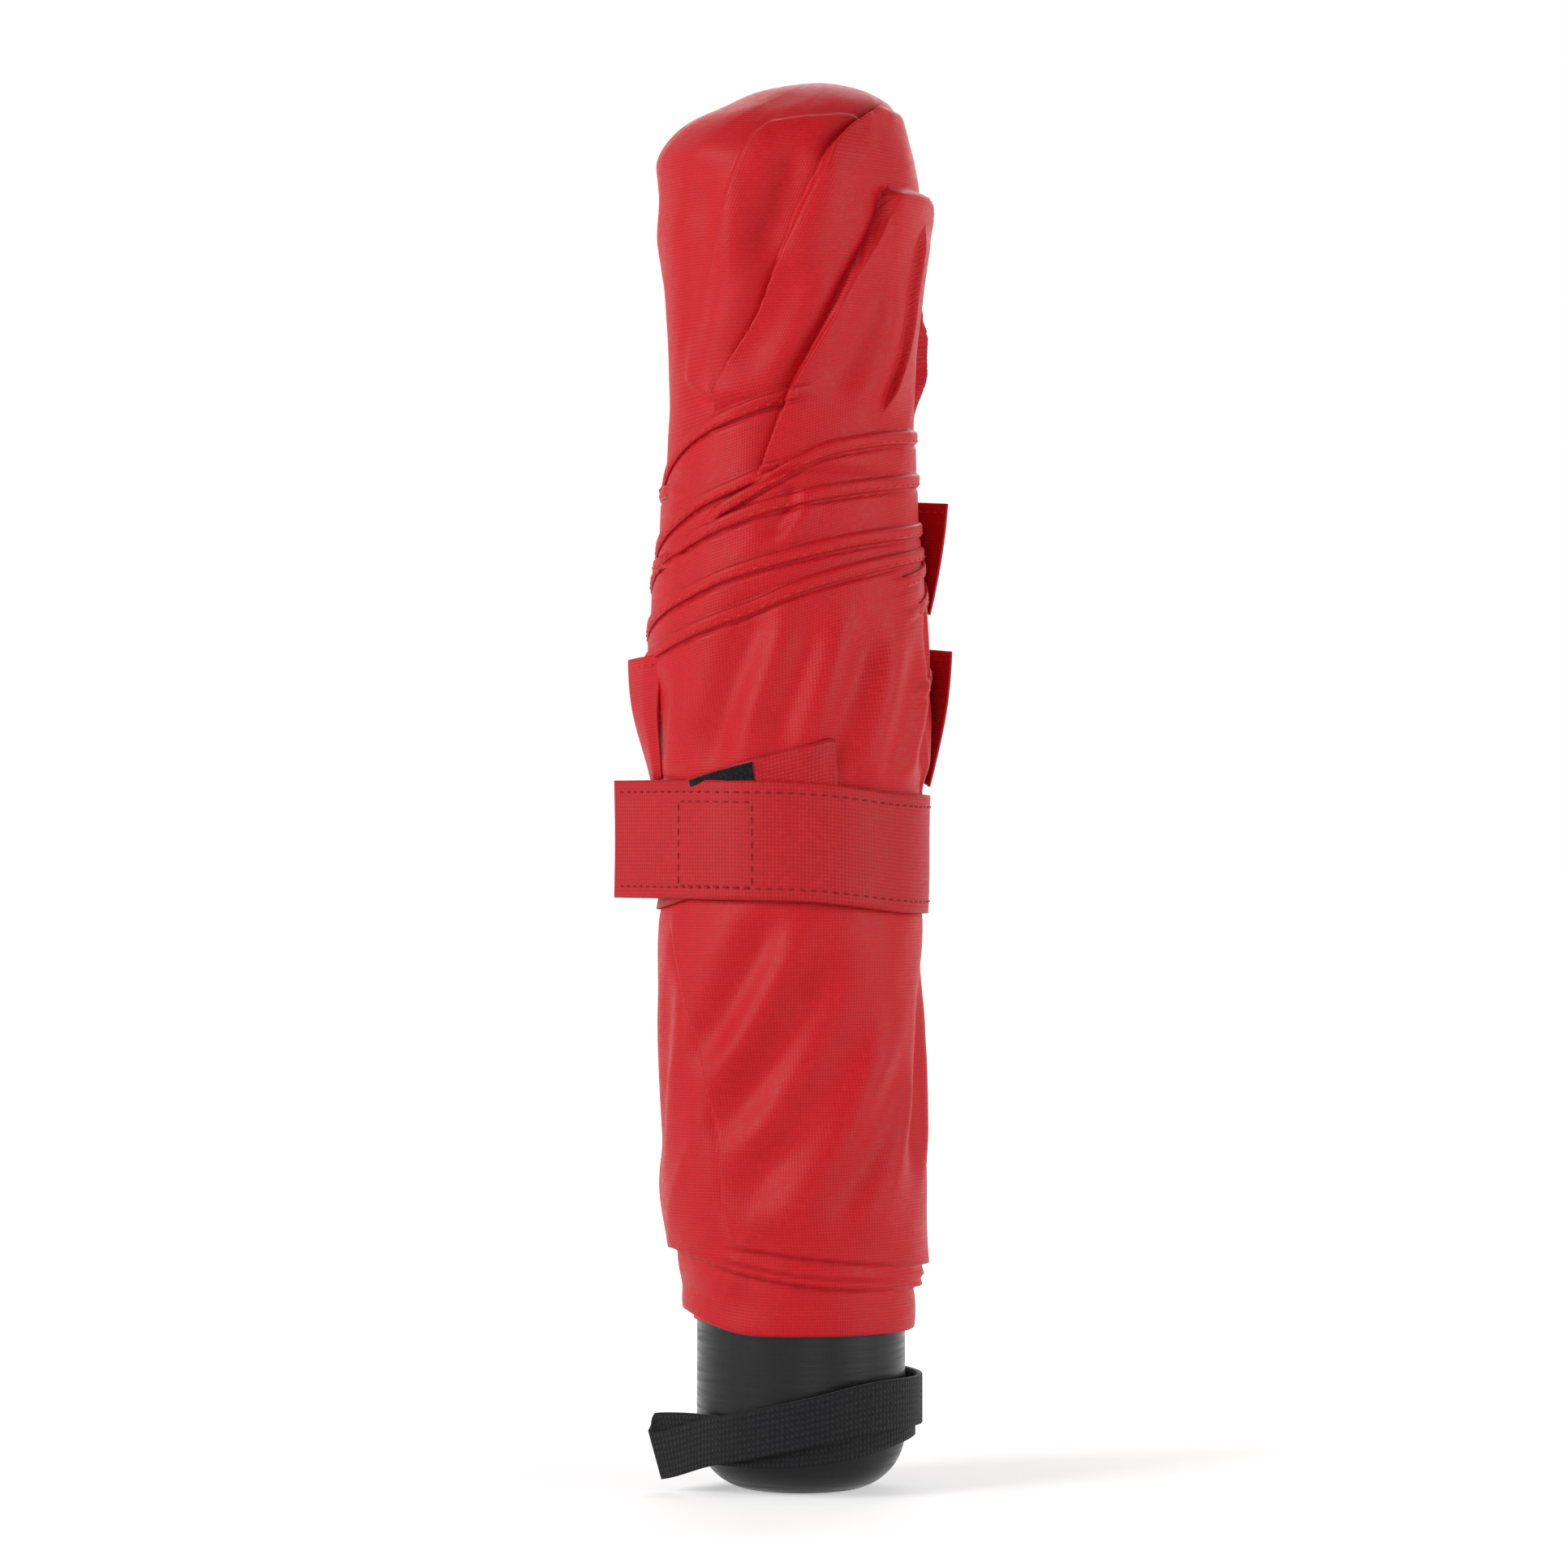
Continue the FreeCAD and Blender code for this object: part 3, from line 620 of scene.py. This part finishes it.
@dataclass(frozen=True)
class Webbing:
    """Ribbed woven tape, on a UV map in metres with its length along the first side."""

    name: str
    light: tuple[float, float, float]
    dark: tuple[float, float, float]
    rib: float = 0.75

    def build(self) -> bpy.types.Material:
        """Makes the material."""
        desk = Desk(self.name)
        weave = desk.add("UVMap", uv_map="Weave").outputs["UV"]
        scale = wave_scale(self.rib)
        ribs = desk.add("TexWave", Vector=weave, bands_direction="X", Scale=scale, Distortion=0.6)
        threads = desk.add("TexWave", Vector=weave, bands_direction="Y", Scale=scale * 0.75, Distortion=0.3)
        fuzz = desk.add("TexNoise", Vector=weave, Scale=1500.0, Detail=3.0)
        both = desk.pair("MULTIPLY", ribs.outputs["Fac"], threads.outputs["Fac"])
        desk.colours(both, self.dark, self.light, (0.1, 0.8))
        desk.range(fuzz.outputs["Fac"], "Roughness", 0.62, 0.8)
        coarse = desk.bump(both, 0.16, 0.8)
        desk.bump(fuzz.outputs["Fac"], 0.04, 0.5, coarse)
        desk.set(Sheen_Weight=0.08, Sheen_Roughness=0.5, Specular_IOR_Level=0.2)
        return desk.material


@dataclass(frozen=True)
class TouchTape:
    """The furry face of a hook and loop fastener."""

    name: str
    colour: tuple[float, float, float]

    def build(self) -> bpy.types.Material:
        """Makes the material."""
        desk = Desk(self.name)
        hooks = desk.add("TexVoronoi", Vector=desk.add("TexCoord").outputs["Object"], Scale=1800.0)
        desk.colours(hooks.outputs["Distance"], self.colour, [value * 2.2 for value in self.colour])
        desk.bump(hooks.outputs["Distance"], 0.25, 0.9)
        desk.set(Roughness=0.9, Sheen_Weight=0.1, Specular_IOR_Level=0.1)
        return desk.material


@dataclass(frozen=True)
class SatinPlastic:
    """Moulded plastic with a fine grain, handling marks and light scratches."""

    name: str
    colour: tuple[float, float, float]
    roughness: float = 0.4
    marks: float = 1.0

    def build(self) -> bpy.types.Material:
        """Makes the material."""
        desk = Desk(self.name)
        place = desk.add("TexCoord").outputs["Object"]
        grain = desk.add("TexNoise", Vector=place, Scale=1400.0, Detail=4.0)
        hands = desk.add("TexNoise", Vector=place, Scale=90.0, Detail=6.0, Roughness=0.6)
        lines = desk.add("Mapping", Vector=place, Rotation=(0.08, 0.05, 0.2), Scale=(90.0, 90.0, 1500.0))
        scratch = desk.add("TexNoise", Vector=lines.outputs["Vector"], Scale=1.0, Detail=2.0)
        desk.colours(hands.outputs["Fac"], self.colour, [value * 1.35 for value in self.colour])
        desk.range(scratch.outputs["Fac"], "Roughness", self.roughness - 0.08, self.roughness + 0.14)
        soft = desk.bump(scratch.outputs["Fac"], 0.05 * self.marks, 0.5)
        desk.bump(grain.outputs["Fac"], 0.02, 0.5, soft)
        desk.set(Specular_IOR_Level=0.24)
        return desk.material


@dataclass(frozen=True)
class DrawnSteel:
    """Steel with fine lines along its length."""

    name: str
    colour: tuple[float, float, float]
    roughness: float = 0.3

    def build(self) -> bpy.types.Material:
        """Makes the material."""
        desk = Desk(self.name)
        place = desk.add("TexCoord").outputs["Object"]
        stretch = desk.add("Mapping", Vector=place, Scale=(2500.0, 2500.0, 40.0))
        lines = desk.add("TexNoise", Vector=stretch.outputs["Vector"], Scale=1.0, Detail=3.0)
        desk.colours(lines.outputs["Fac"], [value * 0.86 for value in self.colour], self.colour)
        desk.range(lines.outputs["Fac"], "Roughness", self.roughness - 0.07, self.roughness + 0.1)
        desk.bump(lines.outputs["Fac"], 0.01, 0.4)
        desk.set(Metallic=1.0)
        return desk.material


@dataclass(frozen=True)
class Finishes:
    """Every finish on the umbrella."""

    canopy: WovenCloth = WovenCloth("Red polyester", (0.640, 0.012, 0.016), (0.520, 0.003, 0.010))
    strap: WovenCloth = WovenCloth("Red strap cloth", (0.600, 0.020, 0.024), (0.440, 0.006, 0.012),
                                   thread=0.62, roughness=0.52, sheen=0.08)
    hem_thread: SatinPlastic = SatinPlastic("Hem thread", (0.50, 0.026, 0.016), 0.5, 0.0)
    strap_thread: SatinPlastic = SatinPlastic("Strap thread", (0.22, 0.004, 0.008), 0.5, 0.0)
    webbing: Webbing = Webbing("Black webbing", (0.013, 0.014, 0.015), (0.003, 0.003, 0.004))
    tape: TouchTape = TouchTape("Black touch tape", (0.006, 0.006, 0.007))
    grip: SatinPlastic = SatinPlastic("Black grip plastic", (0.005, 0.005, 0.006), 0.30)
    nylon: SatinPlastic = SatinPlastic("Black nylon", (0.026, 0.026, 0.029), 0.52, 0.5)
    tube: DrawnSteel = DrawnSteel("Plated tube steel", (0.42, 0.43, 0.45), 0.26)
    rib: DrawnSteel = DrawnSteel("Black rib steel", (0.09, 0.09, 0.10), 0.42)
    spring: DrawnSteel = DrawnSteel("Spring steel", (0.50, 0.50, 0.52), 0.3)


@dataclass
class RolledCanopy:
    """The rolled cloth with its hems, corner flaps and lining."""

    roll: Roll
    cloth: bpy.types.Material
    thread: bpy.types.Material
    split: float = STRAP_HEIGHT
    top: float = 253.5
    foot: float = 6.0
    hem_width: float = 2.1
    hem_thickness: float = 0.2

    def build(self) -> None:
        """Makes every piece of the canopy."""
        self.half("canopy_upper", self.split, self.top, 350)
        self.half("canopy_lower", self.split, self.foot, 220)
        self.lining()
        for number, hem in enumerate(self.roll.hems[:6], 1):
            self.hem(f"canopy_hem_{number}", hem)
        for number, hem in enumerate(self.roll.hems[6:], 1):
            self.hem(f"canopy_back_hem_{number}", hem)
        self.flap("canopy_flap_upper", 98.0, 24.0, 168.4, 19.0, 4.6, 1.0)
        self.flap("canopy_flap_lower", 98.0, 24.0, 143.2, 23.0, 3.4, 1.0)
        self.flap("canopy_flap_left", -86.0, 24.0, 141.6, 21.0, 2.4, -1.0)

    def half(self, name: str, start: float, end: float, rows: int) -> None:
        """Makes the cloth from under the strap to one end of the roll.

        Args:
            name: The piece's name.
            start: The height under the strap.
            end: The height at the roll's end.
            rows: Faces from one to the other.
        """
        def place(across: np.ndarray, along: np.ndarray) -> np.ndarray:
            height = start + (end - start) * along
            twist = 1.35 * np.clip(height - 184.0, 0, 50)
            angle = around(across * 360.0 - 180.0 + twist)
            tilt = 7.5 * ease((height - 124.0) / 22.0) * ease((200.0 - height) / 20.0)
            return self.roll.place(angle, height + tilt * np.sin(np.radians(angle)))

        piece = grid_piece(name, 440, rows, place, (142.0, abs(end - start)), closed=True)
        self._settle(piece, self.cloth)
        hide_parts("canopy_roll")

    def _settle(self, piece: bpy.types.Object, material: bpy.types.Material) -> None:
        """Dresses a piece and fixes it to the canopy."""
        settle(piece, material, "canopy_red")
        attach(piece, "canopy")

    def lining(self) -> None:
        """Makes the folded cloth that is seen inside the roll when the shaft is pulled out."""
        cavity, step = 15.4, 18.3
        outline = ((step, 29.0), (step, 45.8), (cavity, 46.6), (cavity, 120.0), (cavity, 228.0),
                   (11.0, 230.0), (0.0, 230.2))
        runs = np.concatenate(([0.0], np.cumsum(np.linalg.norm(np.diff(outline, axis=0), axis=1))))

        def place(across: np.ndarray, along: np.ndarray) -> np.ndarray:
            radius = np.interp(along * runs[-1], runs, [row[0] for row in outline])
            height = np.interp(along * runs[-1], runs, [row[1] for row in outline])
            turn = np.radians(across * 360.0)
            pleat = 0.25 * np.abs(np.sin(turn * 12)) * ease((height - 47.0) / 8.0) * (radius > 14)
            reach = radius + pleat
            return np.stack((reach * np.sin(turn), -reach * np.cos(turn), height), axis=-1) * MM

        piece = grid_piece("canopy_lining", 192, 90, place, (100.0, 216.0), closed=True)
        self._settle(piece, self.cloth)
        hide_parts("canopy_roll")

    def hem(self, name: str, hem: Fold) -> None:
        """Makes one hem's turned band and its stitches.

        Args:
            name: The band's name.
            hem: The edge that it lies on.
        """
        line = hem.line
        low, high = line[0][0] + 4.0, line[-1][0] - 4.0

        def lie(across: np.ndarray, along: np.ndarray, lift: float) -> np.ndarray:
            angle = low + (high - low) * across
            edge = smooth_line(line, angle)
            sink = 1.1 * (1 - ease(across / 0.08) * ease((1 - across) / 0.08))
            middle = edge - self.hem_width * 0.5 + (along - 0.5) * self.hem_width
            bulge = 0.12 * (1 - (2 * along - 1) ** 4)
            flatter = 0.12 * np.sin(np.radians(angle)) ** 4
            return self.roll.place(angle, middle, lift + bulge - sink - flatter)

        length = math.radians(high - low) * 22.5
        band = grid_piece(name, 160, 6, lambda u, v: lie(u, v, 0.08), (length, self.hem_width))
        thicken(band, self.hem_thickness)
        self._settle(band, self.cloth)
        share = np.linspace(0.05, 0.95, 160)
        centres = lie(share, np.full_like(share, 0.2), 0.26)
        angles = np.radians(low + (high - low) * share)
        outward = np.stack((np.sin(angles), -np.cos(angles), np.zeros_like(angles)), axis=1)
        self._settle(stitches(name + "_stitches", centres, outward, 2.2, 0.34), self.thread)

    def flap(self, name: str, angle: float, root: float, top: float, drop: float, reach: float,
             side: float) -> None:
        """Makes a corner of cloth that stands out from the roll.

        Args:
            name: The piece's name.
            angle: Where it leaves the roll.
            root: How far round, to the right of there, it lies on the roll.
            top: The height of its upper edge.
            drop: From its upper edge to its lower tip.
            reach: How far its corner stands out.
            side: 1 at the right, and -1 at the left.
        """
        def place(across: np.ndarray, along: np.ndarray) -> np.ndarray:
            height = top - along * drop - 0.8 * across
            turn = angle + root * (1 - across) * (1 - 0.5 * along)
            points = self.roll.place(turn, height, 0.9 * ease(across * 2.5), relief=False)
            out = reach * across**1.2 * (1 - along) * (1 + 0.35 * along)
            wave = 0.5 * np.sin(along * 7.0 + across * 2.0) * across
            points[..., 0] += side * out * MM
            points[..., 1] += (wave - 0.8 * across) * MM
            return points

        piece = grid_piece(name, 24, 48, place, (14.0, drop))
        thicken(piece, 0.4, 0.0)
        self._settle(piece, self.cloth)
        share = np.linspace(0.15, 0.96, 60)
        centres = place(share, np.full_like(share, 1.6 / drop))
        centres[:, 1] -= 0.32 * MM
        outward = np.tile((0.25 * side, -1.0, 0.0), (60, 1))
        self._settle(stitches(name + "_stitches", centres, outward, 2.0, 0.4), self.thread)


@dataclass
class TieStrap:
    """The strap round the roll: its closing tab, its under end and its touch fastener."""

    roll: Roll
    cloth: bpy.types.Material
    thread: bpy.types.Material
    tape: bpy.types.Material
    width: float = 20.0
    radius: float = 23.3
    thickness: float = 0.6
    stand_off: float = 0.7
    leaves: float = -52.0
    blend_start: float = 2.1
    blend_end: float = -6.0
    seam_angle: float = 172.0

    def middle(self, across: np.ndarray) -> np.ndarray:
        """Gives the outer strap's middle height at places from left to right, and on round the right side."""
        return smooth_line(((-41.0, 110.4), (-12.0, 110.45), (3.0, 110.1), (20.0, 108.3), (60.0, 108.6),
                            (75.0, 109.2)), across)

    @property
    def course(self) -> float:
        """The way in which the tab runs on where it leaves the roll, in radians."""
        return math.radians(self.leaves)

    def outer(self, along: np.ndarray, share: np.ndarray, lift: float = 0.0) -> np.ndarray:
        """Gives points on the outer strap.

        Args:
            along: Distance from where the strap is level with the front's middle, positive to the right.
            share: From 0 at its lower edge to 1 at its upper edge.
            lift: How far off its outer side the points are.

        Returns:
            The points in metres.
        """
        turn_at = self.course * self.radius
        angle = np.degrees(np.maximum(along, turn_at) / self.radius)
        past = np.minimum(along - turn_at, 0.0)
        height = self.middle(along) + (share - 0.5) * self.width
        off = self.stand_off + lift + 0.2 * np.sin(along / 7.0 + share * 2.0) * (np.abs(2 * share - 1) ** 2)
        points = self.roll.place(angle, np.full_like(angle, STRAP_HEIGHT), off, relief=False)
        points[..., 2] = height * MM
        curl = 0.9 * np.sin(np.clip(-past / 20.0, 0, 1) * math.pi) * (2 * share - 1) ** 2
        points[..., 0] += (math.cos(self.course) * past + math.sin(self.course) * curl * 0.3) * MM
        points[..., 1] += (math.sin(self.course) * past - curl * 0.6) * MM
        return points

    def under(self, along: np.ndarray, share: np.ndarray, lift: float = 0.0) -> np.ndarray:
        """Gives points on the strap's under layer, which comes round the back and rises over the front.

        Args:
            along: From 0 at the seam at the back to 1 at its end on the front.
            share: From 0 at its lower edge to 1 at its upper edge.
            lift: How far off the layer the points are.

        Returns:
            The points in metres.
        """
        angle = -360.0 + self.seam_angle + 4.0 + along * (190.0 + 13.0)
        rise = smooth_line(((-190.0, 109.2), (-130.0, 109.0), (-90.0, 108.4), (-60.0, 109.7), (-38.0, 111.8),
                            (15.0, 117.2)), angle)
        height = rise + (share - 0.5) * self.width
        return self.roll.place(angle, height, 0.4 + lift)

    def build(self) -> None:
        """Makes every piece of the strap."""
        start, end = -40.0, math.radians(self.seam_angle) * self.radius

        def layer(across: np.ndarray, along: np.ndarray) -> np.ndarray:
            return self.outer(start + (end - start) * across, along)

        strap = grid_piece("tie_strap_outer", 300, 24, layer, (end - start, self.width))
        thicken(strap, self.thickness)
        settle(strap, self.cloth, "canopy_red")
        self._bend(strap)
        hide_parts("tie_tab", "tie_strap")

        under = grid_piece("tie_strap_under", 260, 20, self.under, (82.0, self.width))
        thicken(under, self.thickness * 0.6)
        settle(under, self.cloth, "canopy_red")
        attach(under, "canopy")
        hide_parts("tie_strap")
        self.sew(start, end)
        self.fasten()

    def sew(self, start: float, end: float) -> None:
        """Sews the strap's long edges, its closing square and its seam at the back.

        Args:
            start: The strap's left end.
            end: Its end at the back.
        """
        inset = 2.0 / self.width
        along = np.linspace(start + 1.2, end - 1.0, 220)
        for name, share in (("upper", 1 - inset), ("lower", inset)):
            row = self._row(f"tie_strap_{name}_stitches", along, np.full_like(along, share))
            self._bend(row)
        left, right, low, high = -22.0, -6.7, 0.11, 0.82
        sides = ((left, low, right, low), (right, low, right, high), (right, high, left, high),
                 (left, high, left, low))
        for number, (x0, s0, x1, s1) in enumerate(sides, 1):
            share = np.linspace(0, 1, 30)
            along, up = x0 + (x1 - x0) * share, s0 + (s1 - s0) * share
            row = self._row(f"tie_square_stitches_{number}", along, up)
            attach(row, "tie_tab")
        share = np.linspace(0.08, 0.92, 30)
        for number, inside in enumerate((1.2, 3.2), 1):
            row = self._row(f"tie_seam_stitches_{number}", np.full_like(share, end - inside), share)
            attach(row, "canopy")

    def _row(self, name: str, along: np.ndarray, share: np.ndarray) -> bpy.types.Object:
        """Sews one row on the outer strap."""
        centres = self.outer(along, share, self.thickness + 0.04)
        angle = np.maximum(along / self.radius, self.course)
        outward = np.stack((np.sin(angle), -np.cos(angle), np.zeros_like(angle)), axis=1)
        row = stitches(name, centres, outward, 1.9, 0.36, 0.72)
        settle(row, self.thread, "canopy_red")
        return row

    def _bend(self, piece: bpy.types.Object) -> None:
        """Bakes a piece's placement into its mesh."""
        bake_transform(piece)

    def fasten(self) -> None:
        """Makes both halves of the touch fastener."""
        def loops(across: np.ndarray, along: np.ndarray) -> np.ndarray:
            return self.under(0.675 + 0.155 * across, 0.02 + 0.96 * along, 0.3)

        def hooks(across: np.ndarray, along: np.ndarray) -> np.ndarray:
            return self.outer(-21.5 + 14.0 * across, 0.14 + 0.65 * along, -0.3)

        loop = grid_piece("touch_loops", 30, 40, loops, (13.0, 19.0))
        thicken(loop, 0.3)
        settle(loop, self.tape, "touch_black")
        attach(loop, "canopy")
        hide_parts("loop_patch")
        hook = grid_piece("touch_hooks", 30, 40, hooks, (12.0, 13.0))
        thicken(hook, 0.25)
        settle(hook, self.tape, "touch_black")
        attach(hook, "tie_tab")
        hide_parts("hook_patch")


@dataclass
class WristLoop:
    """One length of webbing from the pin round the grip's front, and back under itself."""

    webbing: bpy.types.Material
    pin: Vector
    width: float = 8.2
    thickness: float = 1.0
    outer_radius: float = 20.2
    inner_radius: float = 19.0
    start_angle: float = 130.0
    leaves: float = -45.0
    tail: float = 14.0
    pin_height: float = 12.8
    front_heights: tuple[Point, ...] = ((-25.0, 5.6), (-22.4, 6.4), (-15.8, 9.1), (-8.0, 11.1), (0.8, 13.1),
                                        (15.0, 15.6), (21.0, 15.3))
    rear_heights: tuple[Point, ...] = ((-25.0, 8.8), (-23.5, 9.0), (0.8, 9.9), (10.5, 11.3), (17.4, 13.0),
                                       (21.0, 13.8))

    @property
    def onward(self) -> np.ndarray:
        """The way in which the loop runs on, straight, where it leaves the grip."""
        course = math.radians(self.leaves)
        return np.array((-math.cos(course), -math.sin(course)))

    def leg(self, along: np.ndarray, radius: float) -> np.ndarray:
        """Gives the plan of one leg.

        Args:
            along: From 0 at the pin to 1 at the loop's left end.
            radius: The leg's radius round the grip.

        Returns:
            Points across and forwards, in millimetres.
        """
        pin = np.array((self.pin.x, self.pin.y)) / MM
        begin = math.radians(self.start_angle)
        arc = math.radians(self.start_angle - self.leaves) * radius
        start = np.array((math.sin(begin), -math.cos(begin))) * radius
        neck = float(np.linalg.norm(start - pin))
        run = along * (neck + arc + self.tail)
        turn = begin - np.clip(run - neck, 0, arc) / radius
        points = np.stack((np.sin(turn), -np.cos(turn)), axis=-1) * radius
        points += np.clip(1 - run / neck, 0, 1)[..., None] * (pin - start)
        return points + np.maximum(run - neck - arc, 0.0)[..., None] * self.onward

    def build(self) -> None:
        """Makes the webbing loop."""
        turn_share = 0.02

        def place(across: np.ndarray, along: np.ndarray) -> np.ndarray:
            out = np.clip(across / (0.5 - turn_share), 0, 1)
            back = np.clip((1 - across) / (0.5 - turn_share), 0, 1)
            bend = np.clip((across - 0.5 + turn_share) / (2 * turn_share), 0, 1)
            first, second = self.leg(out, self.outer_radius), self.leg(back, self.inner_radius)
            plan = np.where((across < 0.5)[..., None], first, second)
            bulge = np.sin(bend * math.pi) * 0.7
            middle = (first + second) / 2
            round_end = middle + (first - second) / 2 * np.cos(bend * math.pi)[..., None]
            round_end = round_end + bulge[..., None] * self.onward
            inside = (bend > 0) & (bend < 1)
            plan = np.where(inside[..., None], round_end, plan)
            slant = (along - 0.5) * 3.4 * ease(1 - np.abs(across - 0.5) / 0.08)
            plan = plan + slant[..., None] * self.onward
            front = smooth_line(self.front_heights, plan[..., 0])
            rear = smooth_line(self.rear_heights, plan[..., 0])
            height = front + (rear - front) * ease((across - 0.5) / (2 * turn_share) + 0.5)
            near_pin = ease(1 - np.minimum(across, 1 - across) / 0.06)
            height = height * (1 - near_pin) + self.pin_height * near_pin
            height = height + (along - 0.5) * self.width
            return np.stack((plan[..., 0], plan[..., 1], height), axis=-1) * MM

        loop = grid_piece("wrist_webbing", 520, 14, place, (160.0, self.width))
        thicken(loop, self.thickness, 0.0)
        settle(loop, self.webbing, "webbing_black")
        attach(loop, "wrist_strap")
        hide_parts("wrist_strap")


@dataclass
class Frame:
    """The metal and plastic parts, whose shapes are the CAD's own."""

    finishes: Finishes

    def build(self) -> None:
        """Dresses every CAD part that shows."""
        made: dict[str, bpy.types.Material] = {}
        by_slot = {"grip_black": self.finishes.grip, "plastic_nylon": self.finishes.nylon,
                   "tube_steel": self.finishes.tube, "rib_steel": self.finishes.rib,
                   "spring_steel": self.finishes.spring, "canopy_red": self.finishes.canopy,
                   "webbing_black": self.finishes.webbing, "touch_black": self.finishes.tape}
        for part in frame["record"]["subparts"]:
            slot = part["material_slot"]
            if slot not in made:
                made[slot] = by_slot[slot].build()
            node = frame["nodes"][part["node"]]
            for place in node.material_slots:
                place.material = made[slot]


@dataclass
class Studio:
    """The floor, the lamps and the camera."""

    middle: Vector
    view_side: float = 0.2672
    distance: float = 0.95

    def build(self) -> None:
        """Sets the whole stage."""
        self.floor()
        self.world()
        self.lamp("Key", (-0.78, -0.50, 0.45), 0.45, 6.2)
        self.lamp("Fill", (0.80, -0.34, 0.26), 0.45, 3.2)
        self.lamp("Back", (0.10, 0.80, 0.60), 0.7, 3.5)
        self.lamp("Low", (0.20, -0.9, 0.10), 0.4, 1.0)
        self.camera()
        bpy.context.scene.view_settings.view_transform = "Standard"

    def floor(self) -> None:
        """Makes the pale floor, which keeps the object's shadow."""
        bm = bmesh.new()
        bmesh.ops.create_grid(bm, x_segments=1, y_segments=1, size=6.0)
        floor = finished("studio_floor", bm)
        desk = Desk("Pale floor")
        desk.set(Base_Color=(0.93, 0.93, 0.93, 1.0), Roughness=0.9, Specular_IOR_Level=0.0)
        desk.set(Emission_Color=(1.0, 1.0, 1.0, 1.0))
        seen = self._seen(desk)
        away = desk.add("VectorMath", operation="LENGTH")
        desk.join(desk.add("TexCoord").outputs["Object"], away.inputs[0])
        glow = desk.add("MapRange", Value=away.outputs["Value"], From_Min=0.05, From_Max=0.35, To_Min=0.45,
                        To_Max=1.0)
        amount = desk.pair("MULTIPLY", seen, glow.outputs["Result"])
        desk.join(amount, desk.shader.inputs["Emission Strength"])
        floor.data.materials.append(desk.material)

    def _seen(self, desk: Desk) -> bpy.types.NodeSocket:
        """Tells whether the surface is seen by the camera or in a reflection."""
        path = desk.add("LightPath").outputs
        first = desk.pair("MAXIMUM", path["Is Camera Ray"], path["Is Glossy Ray"])
        return desk.pair("MAXIMUM", first, path["Is Transmission Ray"])

    def world(self) -> None:
        """Makes the white surroundings."""
        world = bpy.data.worlds.new("Studio")
        bpy.context.scene.world = world
        world.use_nodes = True
        desk = WorldDesk(world)
        light = desk.add("Background", Strength=0.15)
        white = desk.add("Background", Strength=1.0)
        for shade in (light, white):
            shade.inputs["Color"].default_value = (1.0, 1.0, 1.0, 1.0)
        choose = desk.add("MixShader")
        desk.join(self._seen(desk), choose.inputs["Fac"])
        desk.join(light.outputs["Background"], choose.inputs[1])
        desk.join(white.outputs["Background"], choose.inputs[2])
        desk.join(choose.outputs["Shader"], desk.nodes["World Output"].inputs["Surface"])

    def lamp(self, name: str, place: Sequence[float], size: float, power: float) -> None:
        """Adds a soft lamp that faces the umbrella.

        Args:
            name: The lamp's name.
            place: Where it stands.
            size: Its side.
            power: Its power in watts.
        """
        data = bpy.data.lights.new(name, "AREA")
        data.shape = "SQUARE"
        data.size = size
        data.energy = power
        lamp = in_scene(name, data)
        lamp.location = Vector(place)
        lamp.rotation_euler = (self.middle - lamp.location).to_track_quat("-Z", "Y").to_euler()

    def camera(self) -> None:
        """Places the camera level with the umbrella's middle, straight in front."""
        data = bpy.data.cameras.new("Camera")
        data.sensor_width = 36.0
        data.lens = data.sensor_width * self.distance / self.view_side
        camera = in_scene("Camera", data)
        camera.location = (self.middle.x, -self.distance, self.middle.z)
        camera.rotation_euler = (math.radians(90.0), 0.0, 0.0)
        bpy.context.scene.camera = camera


class WorldDesk(Desk):
    """Lays out the world's nodes."""

    def __init__(self, world: bpy.types.World) -> None:
        """Starts on an empty world's nodes."""
        self.nodes = world.node_tree.nodes
        self.links = world.node_tree.links


def main() -> None:
    """Builds the umbrella's looks and its studio."""
    logging.basicConfig(level=logging.INFO)
    finishes = Finishes()
    roll = Roll()
    Frame(finishes).build()
    RolledCanopy(roll, finishes.canopy.build(), finishes.hem_thread.build()).build()
    TieStrap(roll, finishes.strap.build(), finishes.strap_thread.build(), finishes.tape.build()).build()
    pin_low, pin_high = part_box("wrist_strap_pin")
    pin = (Vector(pin_low) + Vector(pin_high)) / 2
    WristLoop(finishes.webbing.build(), pin).build()
    Studio(Vector((-0.0029, 0.0, 0.1198))).build()


if __name__ == "__main__":
    main()
